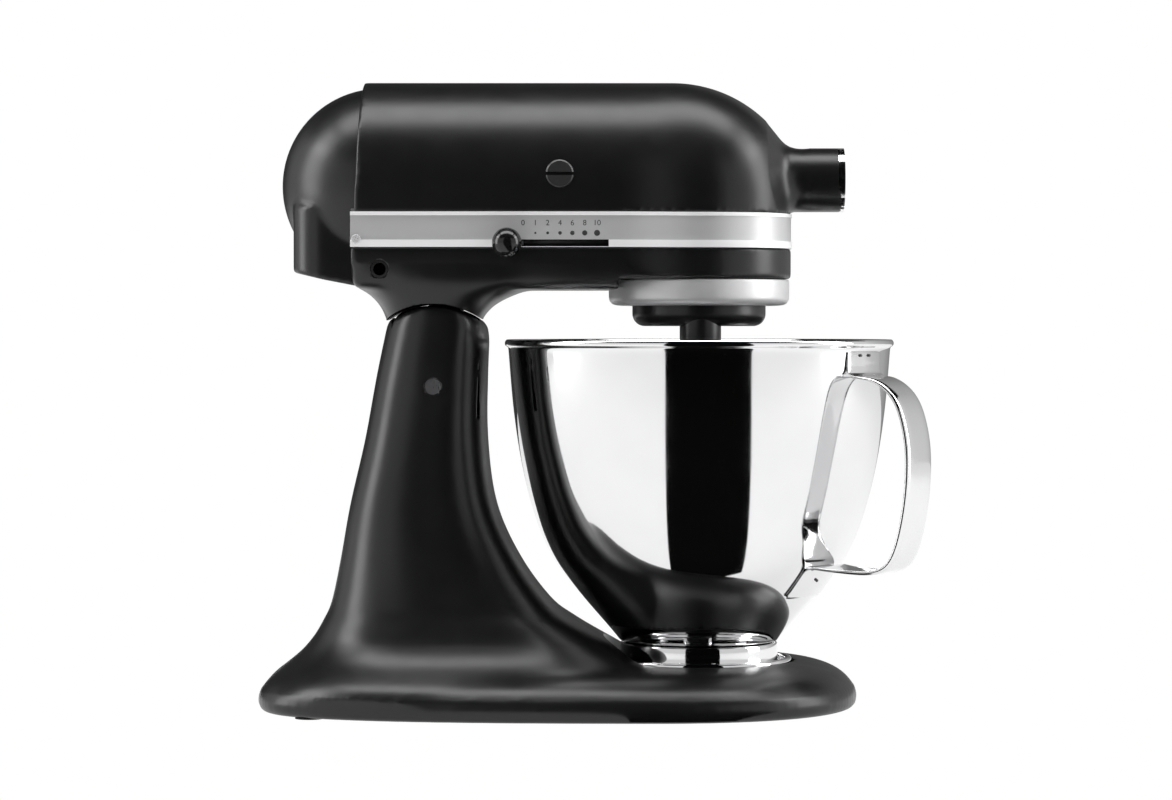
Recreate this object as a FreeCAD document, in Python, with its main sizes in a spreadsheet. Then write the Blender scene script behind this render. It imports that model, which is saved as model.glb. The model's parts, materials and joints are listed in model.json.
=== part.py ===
"""A tilt-head stand mixer: pedestal, tilting head with its motor and gears, planetary drive and bowl.

Frame: +X runs from the back to the attachment hub, +Z is up, and the speed lever is on the -Y side.
The origin is on the table, at the centre of the mixer's outline. Sizes are in millimetres.
"""
import FreeCAD, Part
import math
import os
import re

import Sketcher

V = FreeCAD.Vector
doc = FreeCAD.newDocument("stand_mixer")
sheet = doc.addObject("Spreadsheet::Sheet", "Sizes")

SIZES = dict(
    # the pedestal casting: base plan, deck and column
    base_tail=189.0, base_nose=148.5, base_half_width=108.0, base_tail_taper=17.0, base_waist=30.0,
    base_lift=2.0, deck=22.0, base_wall=5.0, edge_inset=6.0,
    foot_radius=9.0, foot_depth=3.0,
    # the head's hinge, and the round top of the column that the head turns over
    hinge_x=-90.3, hinge_z=182.0, hinge_pin_radius=4.5, hinge_round=45.0, hinge_gap=1.0,
    tongue_half=30.0, cheek_boss=11.0, column_top_half=47.0,
    # the head: a round-topped box with a drum-shaped nose
    head_half=59.0, head_top=353.0, head_back=-135.0, nose_start=10.0, nose_radius=52.0,
    crown_start=44.0, crown_radius=76.0, head_wall=4.0, split=269.0, arm_under=236.0, side_step=258.0,
    gland_x=-119.0, gland_z=247.0, gland_radius=5.0,
    # the rear cover: a ball-shaped end with a flat skirt
    cover_ball=55.7, cover_centre_x=-121.3, cover_centre_z=294.4, cover_wall=3.0,
    skirt_back=-168.8, skirt_half=54.0, skirt_low=237.5, skirt_top=276.0, skirt_round=24.0,
    # the trim band, and the slots for the speed and lock levers
    band_low=259.2, band_high=278.7, band_proud=0.6, band_depth=1.1, band_lip=2.0, band_foot_lip=4.0,
    lever_z=261.4, lever_slot_half=1.9, lever_x=-48.5, lever_travel=40.4, lever_reach=69.0,
    knob_radius=8.2, stem_half=1.5, link_y=47.0, lock_x=-34.0, lock_travel=38.5,
    # the motor, along X
    motor_z=299.6, armature_radius=5.0, core_radius=26.8, core_back=-105.0, core_front=-55.0,
    stator_radius=49.0, stator_flat=44.0, air_gap=0.6, commutator_radius=15.0,
    brush_x=-19.6, brush_cap_radius=7.7, brush_radius=4.5, brush_end=32.0, brush_cap_seat=50.0,
    fan_radius=38.0, bearing_radius=11.0, bearing_width=7.0,
    front_bearing_x=-2.0, rear_bearing_x=-131.0,
    # the gears: worm, pinion shaft, centre gear and bevels
    module_size=1.5, worm_radius=6.0, wheel_y=22.5, pinion_teeth=12, centre_teeth=46,
    ring_teeth=50, planet_teeth=16, gear_gap=0.3, gear_low=267.0, gear_thick=10.0,
    centre_shaft_radius=8.0, pinion_shaft_radius=5.0, bevel_big=24.0, bevel_small=12.0,
    # the attachment hub at the nose
    hub_z=298.4, hub_radius=18.1, hub_end=136.6, hub_bore=12.75, hub_step=0.35, hub_seat=107.0,
    hub_socket_half=4.8, cover_thick=3.6, cover_gap=0.6, cover_pin=0.9, knob_x=124.0, thumb_screw=3.0,
    # the planetary drive and the beater shaft
    axis_x=59.0, drum_low=242.0, drum_floor=252.0, ring_out=51.35, ring_low=227.0,
    ring_gear_out=43.5, carrier_radius=37.8, carrier_low=215.6, carrier_top=230.5,
    beater_shaft_radius=6.35, beater_end=172.0, boss_radius=11.6, boss_low=204.0, carrier_pin_radius=2.5,
    attachment_pin_radius=1.6, attachment_pin_z=186.0,
    # the bowl and its clamp
    bowl_wall=1.2, bowl_low=37.0, bowl_rim=110.3, bowl_top=208.0, bowl_foot_radius=45.2,
    bowl_floor_flat=30.0, bowl_floor_rise=5.0,
    handle_angle=-31.0, handle_width=28.0, handle_thick=2.2, clamp_radius=52.9, clamp_top=28.3,
    # clearances
    fit=0.05, small_gap=0.3,
    # screws, and the bores that clear or hold them
    screw_shank=2.0, screw_head=3.9, band_screw=1.3, brush_boss=11.0, brush_boss_start=44.0,
    brush_boss_end=56.0,
    lock_catch_x=4.3, lock_catch_thick=6.0, lock_bolt_long=20.0, lock_bolt_low=61.0, lock_bolt_thick=4.0,
    centre_bush_radius=14.0, beater_bush_radius=9.0, carrier_wall=5.0, carrier_hub=15.0,
)
for row, (alias, value) in enumerate(SIZES.items(), start=1):
    sheet.set("A%d" % row, alias)
    sheet.set("B%d" % row, str(value))
    sheet.setAlias("B%d" % row, alias)
doc.recompute()

SUB_PARTS = []
TURNS = {
    "Z": FreeCAD.Rotation(),
    "-Z": FreeCAD.Rotation(V(1, 0, 0), 180),
    "X": FreeCAD.Rotation(V(0, 1, 0), 90),
    "Y": FreeCAD.Rotation(V(1, 0, 0), -90),
    "-Y": FreeCAD.Rotation(V(1, 0, 0), 90),
}


# ---- ways to make a piece ----------------------------------------------------------------------

def bound(expression):
    """An expression in which each size is read from the sheet."""
    def from_sheet(word):
        return "Sizes." + word[0] if word[0] in SIZES else word[0]

    return re.sub(r"[a-z_]+", from_sheet, str(expression))


def size(expression):
    """The number that an expression comes to."""
    value = sheet.evalExpression(bound(expression))
    return float(getattr(value, "Value", value))


def bind(thing, prop, expression):
    thing.setExpression(prop, bound(expression))


def place(thing, x=0, y=0, z=0, along="Z", turn=0):
    """Stand a piece at x, y, z with its own Z along an axis, turned about that Z by turn degrees."""
    spin = FreeCAD.Rotation(V(0, 0, 1), size(turn))
    thing.Placement = FreeCAD.Placement(V(), TURNS[along].multiply(spin))
    for axis, expression in zip("xyz", (x, y, z)):
        bind(thing, "Placement.Base." + axis, expression)
    return thing


def keep(thing, node):
    """Name a finished sub-part, whose shape goes to parts/NODE.step."""
    thing.Label = node
    SUB_PARTS.append(thing)
    return thing


def solid(shape, node=None):
    """A sub-part, or a blank for one, made with Part's own functions."""
    thing = doc.addObject("Part::Feature", node or "blank")
    thing.Shape = shape
    return keep(thing, node) if node else thing


def origin_plane(body, role):
    return next(item for item in body.Origin.OriginFeatures if item.Role == role)


def sketch_on(body, role):
    sketch = body.newObject("Sketcher::SketchObject", "outline")
    sketch.AttachmentSupport = (origin_plane(body, role), [""])
    sketch.MapMode = "FlatFace"
    return sketch


def draw(sketch, points):
    """A closed outline of straight runs, each corner bound to its two expressions."""
    corners = [V(size(a), size(b), 0) for a, b in points]
    count = len(corners)
    for i, corner in enumerate(corners):
        sketch.addGeometry(Part.LineSegment(corner, corners[(i + 1) % count]), False)
    for i in range(count):
        sketch.addConstraint(Sketcher.Constraint("Coincident", i, 2, (i + 1) % count, 1))
    for i, (across, up) in enumerate(points):
        for kind, expression in (("DistanceX", across), ("DistanceY", up)):
            row = sketch.addConstraint(Sketcher.Constraint(kind, -1, 1, i, 1, size(expression)))
            sketch.setExpression("Constraints[%d]" % row, bound(expression))


def lathe(points, node=None, **where):
    """A turned piece: an outline of (radius, height) corners, revolved about its own Z."""
    body = doc.addObject("PartDesign::Body", node or "turned")
    sketch = sketch_on(body, "XZ_Plane")
    draw(sketch, points)
    turn = body.newObject("PartDesign::Revolution", "turn")
    turn.Profile = sketch
    turn.ReferenceAxis = (sketch, ["V_Axis"])
    turn.Angle = 360
    place(body, **where)
    return keep(body, node) if node else body


def rod(radius, low, high, node=None, inner=None, **where):
    """A round bar or tube along its own Z, from low to high."""
    near = inner or 0
    return lathe([(near, low), (radius, low), (radius, high), (near, high)], node, **where)


def block(x0, x1, y0, y1, z0, z1, node=None):
    """A rectangular piece between three pairs of faces."""
    box = doc.addObject("Part::Box", node or "box")
    for prop, low, high in (("Length", x0, x1), ("Width", y0, y1), ("Height", z0, z1)):
        bind(box, prop, "(%s) - (%s)" % (high, low))
    place(box, x0, y0, z0)
    return keep(box, node) if node else box


def joined(node, *pieces):
    """Several blanks made one piece."""
    return combine("Part::MultiFuse", node, pieces)


def combine(kind, node, pieces):
    thing = doc.addObject(kind, node or "joined")
    thing.Shapes = list(pieces)
    return keep(thing, node) if node else thing


def trimmed(node, base, *tools):
    """A blank with other blanks taken out of it."""
    cut = doc.addObject("Part::Cut", node or "trimmed")
    cut.Base = base
    cut.Tool = tools[0] if len(tools) == 1 else combine("Part::MultiFuse", None, tools)
    return keep(cut, node) if node else cut


def group(node, *pieces):
    """Like pieces that share one node, as separate solids."""
    thing = doc.addObject("Part::Compound", node)
    thing.Links = list(pieces)
    return keep(thing, node)


# ---- shared curves ----------------------------------------------------------------------------

def loop_of(points):
    """A smooth level loop through points that start at +X and go round by +Y, joined at its four extremes."""
    quarter = len(points) // 4
    headings = [V(0, 1, 0), V(-1, 0, 0), V(0, -1, 0), V(1, 0, 0), V(0, 1, 0)]
    round_points = points + points[:1]
    return Part.Wire([
        smooth(round_points[i * quarter:(i + 1) * quarter + 1], headings[i], headings[i + 1])
        for i in range(4)])


def smooth(points, start=None, end=None):
    """A smooth open curve through points, with its end directions where they are given."""
    curve = Part.BSplineCurve()
    if start is None:
        curve.interpolate(Points=points)
    else:
        curve.interpolate(Points=points, InitialTangent=start, FinalTangent=end)
    return curve.toShape()


def bar(a, b):
    return Part.LineSegment(a, b).toShape()


def superellipse(height, back, front, half, power, sides=28):
    """A closed loop in a level plane between back and front, as wide as twice half."""
    centre = (back + front) / 2
    reach = (front - back) / 2
    points = []
    for i in range(sides):
        angle = 2 * math.pi * i / sides
        run = math.copysign(abs(math.cos(angle)) ** (2 / power), math.cos(angle))
        side = math.copysign(abs(math.sin(angle)) ** (2 / power), math.sin(angle))
        points.append(V(centre + reach * run, half * side, height))
    return loop_of(points)


def loft(loops):
    """A smooth solid through loops."""
    return Part.makeLoft(loops, True, False, False, 3)


def stack(rows, inset=0.0):
    """A solid through level loops: rows of height, back, front, half width and squareness."""
    loops = [superellipse(z, back + inset, front - inset, half - inset, power)
             for z, back, front, half, power in rows]
    return loft(loops)


def head_half_at(x):
    """Half the head's width, which narrows from the motor to the round nose."""
    wide, nose = size("head_half"), size("nose_radius")
    start, centre = size("nose_start"), size("axis_x")
    if x <= start:
        return wide
    if x >= centre:
        return math.sqrt(max(nose ** 2 - (x - centre) ** 2, 0.01))
    blend = 0.5 + 0.5 * math.cos(math.pi * (x - start) / (centre - start))
    return nose + (wide - nose) * blend


def head_outline(inset, height, back=None):
    """The head's outline from above, as a wire at one height."""
    start, centre = size("nose_start"), size("axis_x")
    nose = size("nose_radius") - inset
    tail = size("head_back") if back is None else back
    stations = [start + (centre - start) * i / 6 for i in range(7)]
    right = [V(x, -head_half_at(x) + inset, height) for x in stations]
    left = [V(p.x, -p.y, height) for p in reversed(right)]
    forward, backward = V(1, 0, 0), V(-1, 0, 0)
    tail_right = V(tail, right[0].y, height)
    tail_left = V(tail, left[-1].y, height)
    return Part.Wire([
        bar(tail_right, right[0]),
        smooth(right, forward, forward),
        Part.Arc(right[-1], V(centre + nose, 0, height), left[0]).toShape(),
        smooth(left, backward, backward),
        bar(left[-1], tail_left),
        bar(tail_left, tail_right),
    ])


def head_prism(inset, low, high, back=None):
    return Part.Face(head_outline(inset, low, back)).extrude(V(0, 0, high - low))


def head_slice(x, inset, low):
    """The head's cross-section at x: straight sides, then a half ellipse over the top."""
    centre, nose = size("axis_x"), size("nose_radius")
    rise = size("crown_radius")
    run = max(x - size("crown_start"), 0)
    crown = size("head_top") - rise + math.sqrt(rise ** 2 - run ** 2)
    if x > centre:
        half = math.sqrt((nose - inset) ** 2 - (x - centre) ** 2)
    else:
        half = head_half_at(x) - inset
    top_spring = size("head_top - head_half")
    low_spring = size("band_high + 1.5")
    fall = (size("head_top") - crown) / 41.0
    spring = top_spring + (low_spring - top_spring) * fall
    height = crown - inset - spring
    arch = [V(x, half * math.cos(math.pi * i / 12), spring + height * math.sin(math.pi * i / 12))
            for i in range(13)]
    return Part.Wire([
        bar(V(x, half, low), arch[0]),
        smooth(arch, V(0, 0, 1), V(0, 0, -1)),
        bar(arch[-1], V(x, -half, low)),
        bar(V(x, -half, low), V(x, half, low)),
    ])


def head_solid(inset, low, back):
    """The head's round-topped body: a straight length, then a nose that narrows and drops."""
    start, centre = size("nose_start"), size("axis_x")
    nose = size("nose_radius") - inset
    straight = Part.Face(head_slice(start, inset, low)).extrude(V(back - start, 0, 0))
    stations = [start + (centre - start) * i / 4 for i in range(4)]
    stations += [centre + nose * math.sin(math.radians(angle)) for angle in (0, 15, 30, 44, 56, 66, 74, 80)]
    tip = loft([head_slice(x, inset, low) for x in stations])
    return straight.fuse(tip)


def gear_outline(teeth, module, internal=False, backlash=0.12):
    """Involute teeth as a closed wire about the origin, with a tooth (or a space, if internal) on +X."""
    pressure = math.radians(25)
    pitch = teeth * module / 2
    base = pitch * math.cos(pressure)
    tip, root = pitch + 0.8 * module, pitch - 1.0 * module
    if internal:
        tip, root = pitch + 1.0 * module, pitch - 0.75 * module
    slack = backlash / pitch / 2
    half_pitch = math.pi / teeth / 2

    def flank(radius):
        spread = math.acos(min(base / radius, 1.0))
        return math.tan(spread) - spread

    half_tooth = half_pitch + (slack if internal else -slack)
    start = max(root, base)
    radii = [start + (tip - start) * i / 3 for i in range(4)]
    angles = [half_tooth + flank(pitch) - flank(r) for r in radii]
    if root < base:
        radii.insert(0, root)
        angles.insert(0, angles[0])
    points = []
    for tooth in range(teeth):
        middle = 2 * math.pi * tooth / teeth
        side = [(r, middle - a) for r, a in zip(radii, angles)]
        side += [(r, middle + a) for r, a in reversed(list(zip(radii, angles)))]
        points += [V(r * math.cos(a), r * math.sin(a), 0) for r, a in side]
    return Part.makePolygon(points + points[:1])


def gear(teeth, module, bore, low, high, turn=0.0):
    """A spur gear on its own Z, with a round bore."""
    blank = Part.Face(gear_outline(teeth, module)).extrude(V(0, 0, high - low))
    blank.translate(V(0, 0, low))
    blank.rotate(V(), V(0, 0, 1), turn)
    return blank.cut(Part.makeCylinder(bore, high - low, V(0, 0, low)))


# ---- the stand ----------------------------------------------------------------------------------

# height, back, front, half width and squareness of the column, from the deck up
COLUMN = [
    (14.0, -180.0, 34.0, 96.0, 3.0), (21.0, -178.0, 32.0, 93.0, 3.0), (30.0, -168.0, 22.0, 84.0, 3.0),
    (42.0, -158.0, 2.0, 73.0, 2.9), (60.0, -149.0, -24.0, 62.0, 2.9), (84.0, -144.0, -41.5, 54.0, 2.8),
    (115.0, -138.5, -55.4, 48.0, 2.8), (152.0, -130.0, -61.5, 45.0, 2.8), (190.0, -123.0, -61.5, 46.0, 2.8),
    (232.0, -114.0, -60.5, 47.0, 2.8),
]


def base_loop(height, inset):
    """The base from above: a round nose, a slight taper to the tail, and round tail corners."""
    waist, half = size("base_waist"), size("base_half_width")
    nose, tail = size("base_nose") - waist, size("base_tail") + waist
    points = []
    for i in range(40):
        angle = 2 * math.pi * i / 40
        run, side = math.cos(angle), math.sin(angle)
        power, reach = (2.3, nose) if run > 0 else (4.5, tail)
        across = math.copysign(abs(run) ** (2 / power), run)
        aside = math.copysign(abs(side) ** (2 / power), side)
        narrow = size("base_tail_taper") * min(across, 0) ** 2
        points.append(V(waist + (reach - inset) * across, (half - narrow - inset) * aside, height))
    return loop_of(points)


def base_slab(inset, low, high):
    """The base between two heights, with a rounded edge."""
    lift, deck, edge = size("base_lift"), size("deck"), size("edge_inset")
    rounding = [(0.0, edge * 0.5), (0.28, 0.0), (0.55, edge * 0.15), (0.8, edge * 0.75), (1.0, edge * 2.6)]
    rows = [(lift + share * (deck - lift), back) for share, back in rounding]
    if inset:
        rows = [(low, inset + edge), (high, inset + edge * 1.4)]
    return loft([base_loop(z, back) for z, back in rows])


def foot_places():
    """The five feet: two at the tail, two at the waist and one under the nose."""
    tail, nose, half = size("base_tail"), size("base_nose"), size("base_half_width")
    tail_side, waist_side = half - 40, half - 22
    return [(-tail + 32, -tail_side), (-tail + 32, tail_side), (40, -waist_side), (40, waist_side),
            (nose - 24, 0)]


def pedestal():
    """One casting, open underneath: base, flared column and the round top that the head turns over."""
    wall, lift, deck = size("base_wall"), size("base_lift"), size("deck")
    hinge = V(size("hinge_x"), 0, size("hinge_z"))
    outside = stack(COLUMN)
    inside = stack(COLUMN, wall)
    arch_box = Part.makeBox(400, 300, 200, V(hinge.x - 200, -150, hinge.z + 12))
    round_top = size("hinge_round")
    axle = V(0, 1, 0)
    start = V(hinge.x, -150, hinge.z)
    column = outside.cut(arch_box.cut(Part.makeCylinder(round_top, 300, start, axle)))
    hollow = inside.cut(arch_box.cut(Part.makeCylinder(round_top - wall, 300, start, axle)))
    casting = base_slab(0, lift, deck).fuse(column)
    below = Part.makeBox(500, 300, deck - wall - lift + 1.5, V(-250, -150, lift - 1.5))
    cavity = base_slab(wall, lift - 1, deck - wall).fuse(hollow.cut(below))
    casting = casting.cut(cavity)
    for side in (-1, 1):
        boss_start = V(hinge.x, side * (size("tongue_half") + 0.4), hinge.z)
        length = size("column_top_half") - size("tongue_half") - 2.4
        casting = casting.fuse(Part.makeCylinder(size("cheek_boss"), length, boss_start, V(0, side, 0)))
    mouth = Part.makeBox(49, 2 * size("tongue_half") + 3, 60,
                         V(hinge.x - 23.5, -size("tongue_half") - 1.5, hinge.z + 20))
    pin_hole = Part.makeCylinder(size("hinge_pin_radius"), 200, V(hinge.x, -100, hinge.z), axle)
    casting = casting.cut(mouth).cut(pin_hole)
    dish = V(size("axis_x"), 0, deck)
    casting = casting.cut(Part.makeCone(size("clamp_radius") + 1.5, size("clamp_radius") + 5, 26, dish))
    for x, y in foot_places():
        foot = V(x, y, size("foot_depth"))
        casting = casting.fuse(Part.makeCylinder(size("foot_radius"), deck - foot.z - 2, foot))
        casting = casting.cut(Part.makeCylinder(size("foot_radius") - 0.7, foot.z, V(x, y, 0)))
    # screw holes of the clamp plate, through the deck
    for x, y in clamp_screw_places():
        casting = casting.cut(Part.makeCylinder(size("screw_shank"), wall * 3, V(x, y, deck - wall * 2)))
    set_screw = Part.makeCylinder(size("screw_shank"), 20, V(hinge.x, size("tongue_half") + 6, hinge.z - 20))
    return casting.cut(set_screw)


def clamp_screw_places():
    reach = size("bowl_foot_radius") - 12
    angles = [math.radians(angle) for angle in (45, 135, 225, 315)]
    return [(size("axis_x") + reach * math.cos(a), reach * math.sin(a)) for a in angles]


solid(pedestal(), "pedestal")

group("rubber_feet", *[rod("foot_radius - 1", "0", "foot_depth", x=x, y=y) for x, y in foot_places()])

# the bowl turns under three hooks of this plate
clamp_ring = lathe([
    (0, "deck"), ("clamp_radius", "deck"), ("clamp_radius", "clamp_top - 2"),
    ("clamp_radius - 1.5", "clamp_top"), ("bowl_foot_radius + 3.6", "clamp_top"),
    ("bowl_foot_radius + 3.6", "deck + 1"), (0, "deck + 1"),
], x="axis_x")


def hooks():
    """Three short inward tabs on the clamp plate's rim."""
    low, high = size("clamp_top") - 1.6, size("clamp_top")
    inner, outer = size("bowl_foot_radius") + size("small_gap"), size("bowl_foot_radius") + 3.8
    pieces = []
    for angle in (15, 135, 255):
        tab = Part.makeCylinder(outer, high - low, V(0, 0, low), V(0, 0, 1), 24)
        tab = tab.cut(Part.makeCylinder(inner, high - low, V(0, 0, low)))
        tab.rotate(V(), V(0, 0, 1), angle)
        tab.translate(V(size("axis_x"), 0, 0))
        pieces.append(tab)
    return pieces[0].multiFuse(pieces[1:])


clamp_blank = joined(None, clamp_ring, solid(hooks()))
clamp_holes = [rod("screw_shank + 0.2", "deck - 1", "deck + 4", x=x, y=y) for x, y in clamp_screw_places()]
trimmed("bowl_clamp_plate", clamp_blank, *clamp_holes)
group("clamp_plate_screws", *[
    lathe([(0, "deck - base_wall"), ("screw_shank", "deck - base_wall"), ("screw_shank", "deck + 1"),
           ("screw_head + 0.1", "deck + 1"), ("screw_head - 0.7", "deck + 2.2"), (0, "deck + 2.2")], x=x, y=y)
    for x, y in clamp_screw_places()])

rod("hinge_pin_radius", "-column_top_half + 2.2", "column_top_half - 2.2", "hinge_pin",
    x="hinge_x", z="hinge_z", along="Y")
rod("screw_shank", "hinge_z - 14", "hinge_z - hinge_pin_radius", "hinge_pin_set_screw", x="hinge_x",
    y="tongue_half + 6")

# the catch stands on the column's round top, inside the head, with a notch for the lock bolt
catch_post = block("hinge_x + lock_catch_x", "hinge_x + lock_catch_x + lock_catch_thick", 34, 44,
                   "hinge_z + hinge_round - 4", "hinge_z + lock_bolt_low + 8")
catch_window = block("hinge_x", "hinge_x + 20", 36.5, 50, "hinge_z + lock_bolt_low - 0.6",
                     "hinge_z + lock_bolt_low + lock_bolt_thick + 0.6")
catch_round = rod("hinge_round", 30, 50, x="hinge_x", z="hinge_z", along="Y")
trimmed("lock_catch", catch_post, catch_window, catch_round)


# ---- the head's shells ------------------------------------------------------------------------------

NECK = [
    (212.0, -117.5, -61.0, 47.0, 2.8), (219.0, -117.8, -61.0, 47.3, 2.9), (225.0, -120.0, -57.0, 48.5, 3.0),
    (230.0, -123.5, -51.0, 50.0, 3.2), (234.0, -129.0, -42.5, 51.5, 3.6), (237.0, -133.0, -33.0, 52.5, 4.0),
]


def brush_places():
    """The two brush positions: side, and the direction out of the head."""
    return [(side, V(0, side, 0)) for side in (-1, 1)]


def upper_housing():
    """The top casting of the head, with the hub collar, motor seats, brush bosses and shaft boss."""
    wall, low, back = size("head_wall"), size("split"), size("head_back")
    shell = head_solid(0, low, back).cut(head_solid(wall, low - 5, back - 5))
    hub = V(size("hub_end"), 0, size("hub_z"))
    backward = V(-1, 0, 0)
    shell = shell.fuse(Part.makeCylinder(size("hub_radius"), hub.x - 86, hub, backward))
    motor_z, stator = size("motor_z"), size("stator_radius")
    for side, outward in brush_places():
        boss_start = V(size("brush_x"), side * size("brush_boss_start"), motor_z)
        boss_length = size("brush_boss_end - brush_boss_start")
        shell = shell.fuse(Part.makeCylinder(size("brush_boss"), boss_length, boss_start, outward))
        seat = Part.makeBox(36, 8, 14, V(-98, 0, motor_z - 7))
        seat.translate(V(0, stator if side > 0 else -stator - 8, 0))
        shell = shell.fuse(seat)
    under_crown = math.sqrt((size("head_half") - 2) ** 2 - size("wheel_y") ** 2)
    ceiling = size("head_top - head_half") + under_crown
    post = V(pinion_x(), size("wheel_y"), motor_z + 10)
    shell = shell.fuse(Part.makeCylinder(9, ceiling - post.z, post))
    shell = shell.cut(Part.makeCylinder(size("pinion_shaft_radius") + size("fit"), 14, post))
    shell = shell.cut(Part.makeCylinder(size("hub_bore"), hub.x - size("hub_seat"), hub, backward))
    shell = shell.cut(Part.makeCylinder(size("hub_bore - hub_step"), hub.x - 96, hub, backward))
    shell = shell.cut(Part.makeCylinder(size("bevel_small"), hub.x - 80, hub, backward))
    for side, outward in brush_places():
        bore_start = V(size("brush_x"), side * (size("brush_boss_start") - 4), motor_z)
        shell = shell.cut(Part.makeCylinder(size("brush_cap_radius + fit"), 40, bore_start, outward))
    notch = Part.makeBox(6, 16, 10, V(hub.x - 1.4, -8, hub.z + 13))
    shell = shell.cut(notch)
    lug = Part.makeBox(6.4, 6, 4.2, V(hub.x - 2.6, -3, hub.z + 13.9))
    pin_start = V(cover_pin_x(), -10, cover_pin_z())
    pin_hole = Part.makeCylinder(size("cover_pin"), 20, pin_start, V(0, 1, 0))
    shell = shell.fuse(lug).cut(pin_hole)
    knob_start = V(size("knob_x"), 5, hub.z)
    knob_hole = Part.makeCylinder(size("thumb_screw + fit"), 30, knob_start, V(0, 1, 0))
    return shell.cut(knob_hole).cut(band_space()).cut(lever_slots())


def pinion_x():
    """Where the pinion shaft stands, so that its pinion meets the centre gear."""
    reach = size("module_size * (pinion_teeth + centre_teeth) / 2")
    return size("axis_x") - math.sqrt(reach ** 2 - size("wheel_y") ** 2)


def cover_pin_x():
    return size("hub_end + cover_gap + cover_thick / 2")


def cover_pin_z():
    return size("hub_z + 16")


def band_space():
    """The groove round the head that the trim band lies in."""
    low, high = size("band_low") - size("fit"), size("band_high") + size("fit")
    return head_prism(-6, low, high).cut(head_prism(size("band_depth") + size("fit"), low, high))


def band_screw_hole(side):
    """The hole for the small screw that holds one end of the trim band."""
    start = V(size("head_back") + 3.2, side * 50, size("band_low + 4.4"))
    return Part.makeCylinder(size("band_screw"), 20, start, V(0, side, 0))


def lever_slots():
    """The two level slots that the lever stems slide along."""
    half = size("lever_slot_half")
    z = size("lever_z") - half
    speed = Part.makeBox(size("lever_travel") + 20, 14, 2 * half, V(size("lever_x") - 4.5, -66, z))
    lock = Part.makeBox(size("lock_travel") + 11, 14, 2 * half, V(size("lock_x - lock_travel") - 5.5, 52, z))
    return speed.fuse(lock)


solid(upper_housing(), "upper_housing")


def side_profile(inset):
    """The lower housing's cross-section, run along X: upright sides that round in to the underside."""
    half, step, low = size("head_half") - inset, size("side_step"), size("arm_under") + inset
    top = size("split")
    right = [V(0, half, step), V(0, half - 2.8, step - 11), V(0, half - 9, low)]
    left = [V(0, -p.y, p.z) for p in right]
    edges = [
        bar(V(0, -half, top), V(0, half, top)), bar(V(0, half, top), right[0]),
        Part.Arc(*right).toShape(), bar(right[-1], left[-1]),
        Part.Arc(*reversed(left)).toShape(), bar(left[0], V(0, -half, top)),
    ]
    return Part.Face(Part.Wire(edges))


def lower_housing():
    """The head's bottom casting: motor trough, arm, drum nose, and the tongue that hangs on the hinge."""
    wall, split, back = size("head_wall"), size("split"), size("head_back")
    centre = V(size("axis_x"), 0, 0)
    hinge = V(size("hinge_x"), 0, size("hinge_z"))
    axle = V(0, 1, 0)
    trough = side_profile(0)
    trough.translate(V(back, 0, 0))
    body = trough.extrude(V(260, 0, 0)).common(head_prism(0, 200, split))
    ring_room = Part.makeCylinder(size("ring_out") + 1, 60, centre + V(0, 0, size("drum_low") - 60))
    beside_ring = Part.makeBox(200, 300, 60, V(13, -150, size("drum_low") - 60))
    body = body.cut(ring_room).cut(beside_ring).fuse(stack(NECK))
    gap_round = Part.makeCylinder(size("hinge_round + hinge_gap"), 300, V(hinge.x, -150, hinge.z), axle)
    body = body.cut(gap_round)
    inner = side_profile(wall)
    inner.translate(V(back - 5, 0, 0))
    hollow = inner.extrude(V(135, 0, 0)).fuse(head_prism(wall, size("drum_floor"), split + 5, back - 5))
    body = body.cut(hollow.common(head_prism(wall, 200, split + 5, back - 5)))
    body = body.fuse(tongue(hinge, axle)).cut(catch_slot(hinge))
    boss = Part.makeCylinder(18, 8, centre + V(0, 0, size("drum_floor") - 1))
    shaft_boss = Part.makeCylinder(9, 12, V(pinion_x(), size("wheel_y"), size("drum_floor") - 2))
    body = body.fuse(boss).fuse(shaft_boss)
    bush_start = centre + V(0, 0, size("drum_low") - 10)
    body = body.cut(Part.makeCylinder(size("centre_bush_radius"), 40, bush_start))
    pinion_start = V(pinion_x(), size("wheel_y"), size("drum_floor") + 1)
    body = body.cut(Part.makeCylinder(size("pinion_shaft_radius + fit"), 12, pinion_start))
    for x, y in housing_screw_places():
        seat = size("arm_under") + 2
        body = body.fuse(Part.makeCylinder(size("screw_head") + 1.1, split - seat, V(x, y, seat)))
        body = body.cut(Part.makeCylinder(size("screw_shank"), 60, V(x, y, 220)))
        body = body.cut(Part.makeCylinder(size("screw_head + 0.1"), seat + 5 - 220, V(x, y, 220)))
    for side in (-1, 1):
        body = body.cut(band_screw_hole(side))
    gland_start = V(size("gland_x"), -40, size("gland_z"))
    gland = Part.makeCylinder(size("gland_radius"), 20, gland_start, V(0, -1, 0))
    return body.cut(gland).cut(band_space()).cut(lever_slots())


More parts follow.
